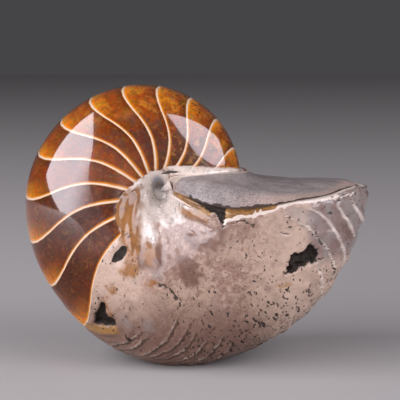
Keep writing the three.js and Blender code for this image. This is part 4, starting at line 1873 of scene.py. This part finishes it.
    def _place_fields(self, surface: Surface) -> dict[str, np.ndarray]:
        """Regions of the shell, by height, by length and across the whorl.

        Args:
            surface: the grid.

        Returns:
            Numbers for each point of the grid, by name.
        """
        x, z = surface.points[..., 0], surface.points[..., 2]
        return {
            "flank": np.abs(surface.side),
            # Painted shade: 1 towards the bottom of the skin, fading out to the right, where its colour
            # is darkened.
            "under": ease(z, 50, 6) * ease(x, 62, 16),
            # Painted light: 1 towards the left and right ends of the skin, where its colour is
            # lightened.
            "painted_side_light": ease(x, 24, 54) + 0.7 * ease(x, -6, -24),
            "tip": ease(x, 47, 58) * ease(z, 42, 56),
            "polish": ease(z, 44, 66),
            "along_mm": 55.0 * surface.growth,
            "across_mm": 100.0 * surface.side,
        }

    def inner_field(self, name: str, rings: np.ndarray) -> np.ndarray:
        """A field's values on the inner wall: pale at the lip, dark further in.

        Args:
            name: the field's name.
            rings: the inner wall's points, by ring and place round it.

        Returns:
            Numbers by ring and place.
        """
        values = np.zeros(rings.shape[:2])
        x, near = rings[0, :, 0], rings[0, :, 1] < 0
        outer = np.arange(rings.shape[1]) < len(self.sides)
        if name in ("living_mm", "spacing_mm"):
            values[:] = self.inner_mm
        elif name == "hole_mm":
            values[:] = np.where(outer & (x > 1), 2.0, -self.most_mm)
            values[0] = self.broken(Surface.seen_flat(rings[:1])).clip(-self.most_mm, self.most_mm)
        elif name == "lip_pale":
            values[:] = ~outer
            values[0] = 1.0 - ease(x, -4, 0) * ease(x, 42, 38) * near * outer
        elif name == "rim_gold":
            values[0] = ease(x, -6, -3) * ease(x, 44, 38) * near * outer
        return values

    def inner_wall(self) -> np.ndarray:
        """The inner wall's points, moved in under the holes so that none shows through them.

        Returns:
            Points by ring and place round it.
        """
        reach, depths = self.chamber.outer_reach, np.array(self.depths)
        end = self.chamber.mouth.coil.wall_end
        beside = np.interp(np.abs(self.sides), (0, end * reach, 1), (0, end, 1)) * np.sign(self.sides)
        rings = self.chamber.rings(beside, depths, np.zeros(len(depths)))
        return dent_under_holes(self.damage.holes, rings, margin=1.5, extra=1.0)

    def build(self) -> bpy.types.Object:
        """Builds the closed surface and dresses it.

        Returns:
            The piece.
        """
        surface = self.surface()
        points = surface.points + surface.normals * self.relief(surface)[..., None]
        points[..., 2] = np.maximum(points[..., 2], 0.0)
        rows, columns = surface.side.shape
        number = np.arange(rows * columns).reshape(rows, columns)
        number[:, 0] = 0
        number[:, -1] = columns - 1
        rings = self.inner_wall()
        ring = ring_numbers(rings, rows * columns)
        rim = np.concatenate([number[-1], number[0, -2::-1]])
        faces = np.concatenate([
            grid_faces(number),
            grid_faces(np.stack([rim, ring[0]])),
            grid_faces(ring),
            grid_faces(across_cap(ring[-1, 0], rings.shape[1]))[:, ::-1],
        ])
        places = np.concatenate([points.reshape(-1, 3), rings.reshape(-1, 3)])
        fields = {
            name: np.concatenate([values.ravel(), self.inner_field(name, rings).ravel()])
            for name, values in self.fields(surface).items()
        }
        piece = closed_piece("shell_skin", places, faces, fields)
        piece.data.materials.append(self.finish.material())
        return piece


@dataclass(frozen=True)
class StoneFill:
    """The stone in the living chamber, with its domed top.

    Gap is the room between it and the wall, edge_round how much more it draws in at its upper
    edge, and end the share of the chamber's depth that it fills. Run_at_tip and run_at_flank
    are the shares of the way across in which the top has risen to its dome.
    """

    chamber: Chamber = field(default_factory=Chamber)
    damage: Damage = field(default_factory=Damage)
    finish: StoneFinish = field(default_factory=StoneFinish)
    gap: float = 0.35
    end: float = 0.98
    edge_round: float = 0.8
    dome_height: float = 3.6
    dome_fall: float = 0.0042
    drawn_up: float = 0.8
    swell: float = 0.12
    run_at_tip: float = 0.14
    run_at_flank: float = 0.5
    columns: int = 180
    depths: tuple[float, ...] = (0, 0.004, 0.01, 0.05, 0.1, 0.2, 0.3, 0.42, 0.54, 0.65, 0.76, 0.88, 1)
    top_rows: int = 48

    def top(self, outer: np.ndarray, inner: np.ndarray, sides: np.ndarray) -> np.ndarray:
        """The top between its outer edge and the older whorl.

        A low dome over the width, met quickly behind the tip and slowly behind the flanks,
        and drawn up where it meets the older whorl, with slow swells of a rubbed surface.

        Args:
            outer: points of the edge along the lip.
            inner: points of the edge on the older whorl, across from them.
            sides: shares of the reach at which both lie.

        Returns:
            Points, a row for each step from the outer edge to the inner one.
        """
        height = self.chamber.mouth.coil.axis_z
        share = (np.linspace(0, 1, self.top_rows + 1) ** 1.5)[:, None]
        points = outer[None] * (1 - share[..., None]) + inner[None] * share[..., None]
        flank = np.abs(sides) * self.chamber.outer_reach
        run = self.run_at_tip + (self.run_at_flank - self.run_at_tip) * ease(flank, 0.04, 0.5)
        dome = height + self.dome_height - self.dome_fall * points[..., 1] ** 2
        drawn_up = height + (inner[:, 2] - height) * self.drawn_up
        crest = dome + (drawn_up - dome) * ease(flank, 0.16, 0.8)
        rise = 1 - (1 - np.minimum(share / run, 1)) ** 2
        low, high = outer[:, 2], inner[:, 2]
        fillet = share ** (8 - 5 * ease(flank, 0.3, 0.7))
        level = low + (crest - low) * rise + (high - crest) * fillet
        calm = np.clip(4 * share * (1 - share), 0, 1)
        points[..., 2] = level + calm * self.swell * ripple(points, 9, Seed.STONE_TOP)
        return points

    def build(self) -> bpy.types.Object:
        """Builds the closed body and dresses it.

        Returns:
            The piece.
        """
        sides = np.linspace(-1, 1, self.columns + 1)
        depths = np.array(self.depths)
        clearance = self.gap + self.edge_round * ease(depths, 0.012, 0.0)
        rings = self.chamber.rings(sides, depths * self.end, clearance)
        rings = dent_under_holes(self.damage.holes, rings, margin=3.0, extra=2.0)
        ring = ring_numbers(rings)
        split = self.columns + 1
        outer = rings[0, :split]
        inner = np.concatenate([outer[:1], rings[0, split:][::-1], outer[-1:]])
        top = self.top(outer, inner, sides)
        first = rings.shape[0] * rings.shape[1]
        number = first + np.arange(top.shape[0] * top.shape[1]).reshape(top.shape[:2])
        number[0] = ring[0, :split]
        number[-1] = np.concatenate([ring[0, :1], ring[0, split:-1][::-1], number[0, -1:]])
        number[:, 0] = number[0, 0]
        number[:, -1] = number[0, -1]
        faces = np.concatenate([
            grid_faces(ring),
            grid_faces(across_cap(ring[-1, 0], rings.shape[1]))[:, ::-1],
            grid_faces(number)[:, ::-1],
        ])
        places = np.concatenate([rings.reshape(-1, 3), top.reshape(-1, 3)])
        piece = closed_piece("stone_top", places, faces, self.fields(rings, top))
        piece.data.materials.append(self.finish.material())
        return piece

    def fields(self, rings: np.ndarray, top: np.ndarray) -> dict[str, np.ndarray]:
        """What the finish reads: the dark parting round the edge and the beige along the lip.

        Args:
            rings: the body's points, by ring and place round it.
            top: the top's points, by row and place across it.

        Returns:
            Numbers for each point of the rings and then of the top, by name.
        """
        edge = np.linalg.norm(top - top[:1], axis=-1)
        inner = np.linalg.norm(top - top[-1:], axis=-1)
        x, near = top[..., 0], top[..., 1] < 0
        wide = (0.85 + 0.4 * ripple(top, 4, Seed.PARTING)).clip(0.3, 1.7)
        shown = np.where(near, ease(x, 1, 5), ease(x, -4, 6)) * ease(x, 79, 75)
        beige = np.maximum(ease(edge, 13.0, 3.0) * ease(x, 4, 50) * near, ease(x, -1.5, -5))
        outer = np.arange(rings.shape[1]) <= self.columns
        body = np.ones(rings.shape[:2])
        parts = {
            "parting": (ease(rings[:1, :, 0], 1, 4) * outer, ease(edge, wide * 1.5, wide * 0.5) * shown),
            "beige": (1.0, beige),
            "cream": (~outer, ease(inner, 1.0, 0.3) * ease(x, 44, 30)),
            # Painted shade: 1 along the crest of the stone's top, where its colour is darkened.
            "crest": (0.0, ease(np.abs(top[..., 1]), 20, 4)),
        }
        return {
            name: np.concatenate([(body * below).ravel(), above.ravel()])
            for name, (below, above) in parts.items()
        }


@dataclass(frozen=True)
class SoftBox:
    """A rectangular soft light.

    Place is its centre in metres from the coil's axis; azimuth (from the camera, to the right)
    and elevation in degrees are where its back points; roll turns it about that line.
    """

    name: str
    place: tuple[float, float, float]
    azimuth: float
    elevation: float
    roll: float
    size: tuple[float, float]
    radiance: float
    tint: tuple[float, float, float] = (1.0, 1.0, 1.0)


def stand(thing: bpy.types.Object, right: Vector, up: Vector, back: Vector, place: Vector) -> None:
    """Puts a light or a camera into the scene, turned and placed.

    Args:
        thing: the object.
        right: where its X points.
        up: where its Y points.
        back: where its Z points, away from what it faces.
        place: its centre in metres.
    """
    bpy.context.scene.collection.objects.link(thing)
    thing.matrix_world = Matrix((right, up, back)).transposed().to_4x4()
    thing.location = place


@dataclass(frozen=True)
class Studio:
    """A pale floor, soft light from both sides and the camera."""

    axis: tuple[float, float, float] = (-0.010, 0.0, 0.0769)
    elevation: float = 7.5
    distance: float = 0.62
    aside: float = 0.0176
    above: float = -0.00528
    lens: float = 126.8
    sensor: float = 36.0
    clip: tuple[float, float] = (0.05, 20.0)
    floor_half: float = 3.0
    boxes: tuple[SoftBox, ...] = (
        SoftBox("left_box", (-1.25, -0.89, 0.43), -20, 60, 30, (1.66, 1.87), 5.2, (0.98, 0.96, 1.06)),
        SoftBox("right_box", (1.80, -0.65, 0.61), 5, 45, 15, (2.58, 1.29), 4.1, (0.98, 0.95, 1.06)),
    )
    floor_colour: Colour = paint("aeaba7")
    air_colour: Colour = paint("8f8d92")
    air_strength: float = 0.22

    def floor(self) -> None:
        """Lays a level floor at the height of the foot."""
        h = self.floor_half
        corners = [(-h, -h, 0.0), (h, -h, 0.0), (h, h, 0.0), (-h, h, 0.0)]
        mesh = bpy.data.meshes.new("floor")
        mesh.from_pydata(corners, [], [(0, 1, 2, 3)])
        piece = bpy.data.objects.new("floor", mesh)
        bpy.context.scene.collection.objects.link(piece)
        paper = Recipe("floor_paper").finish({"Base Color": self.floor_colour, "Roughness": 0.8})
        mesh.materials.append(paper)

    def light(self, box: SoftBox) -> None:
        """Hangs one soft box, unseen by the camera.

        Args:
            box: the light.
        """
        azimuth, elevation = math.radians(box.azimuth), math.radians(box.elevation)
        back = Vector((
            math.sin(azimuth) * math.cos(elevation),
            -math.cos(azimuth) * math.cos(elevation),
            math.sin(elevation),
        ))
        level = Vector((0.0, 0.0, 1.0)).cross(back).normalized()
        right = Matrix.Rotation(math.radians(box.roll), 3, back) @ level
        data = bpy.data.lights.new(box.name, "AREA")
        data.shape = "RECTANGLE"
        data.size, data.size_y = box.size
        data.energy = box.radiance * box.size[0] * box.size[1] * math.pi
        data.color = box.tint
        lamp = bpy.data.objects.new(box.name, data)
        stand(lamp, right, back.cross(right), back, Vector(self.axis) + Vector(box.place))
        lamp.visible_camera = False

    def air(self) -> None:
        """Fills the scene with a dim even light."""
        world = bpy.data.worlds.new("air")
        bpy.context.scene.world = world
        world.use_nodes = True
        ground = world.node_tree.nodes["Background"]
        ground.inputs["Color"].default_value = self.air_colour
        ground.inputs["Strength"].default_value = self.air_strength

    def camera(self) -> None:
        """Sets up the camera, square to the coil's plane but for its height."""
        lift = math.radians(self.elevation)
        back = Vector((0.0, -math.cos(lift), math.sin(lift)))
        right = Vector((1.0, 0.0, 0.0))
        up = back.cross(right)
        data = bpy.data.cameras.new("camera")
        data.sensor_width = self.sensor
        data.lens = self.lens
        data.clip_start, data.clip_end = self.clip
        camera = bpy.data.objects.new("camera", data)
        place = Vector(self.axis) + back * self.distance + right * self.aside + up * self.above
        stand(camera, right, up, back, place)
        bpy.context.scene.camera = camera

    def build(self) -> None:
        """Sets up the floor, the lights, the camera and the plain colour response."""
        self.floor()
        for box in self.boxes:
            self.light(box)
        self.air()
        self.camera()
        bpy.context.scene.view_settings.view_transform = "Standard"


def main() -> None:
    """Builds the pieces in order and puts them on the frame."""
    logging.basicConfig(level=logging.INFO, format="%(name)s: %(message)s")
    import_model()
    Studio().build()
    for maker, node in ((Shell(), "shell"), (StoneFill(), "stone_fill")):
        piece = maker.build()
        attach(piece, "root")
        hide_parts(node)
        LOG.info("%s: %d triangles, in place of %s", piece.name, len(piece.data.polygons), node)


if __name__ == "__main__":
    main()
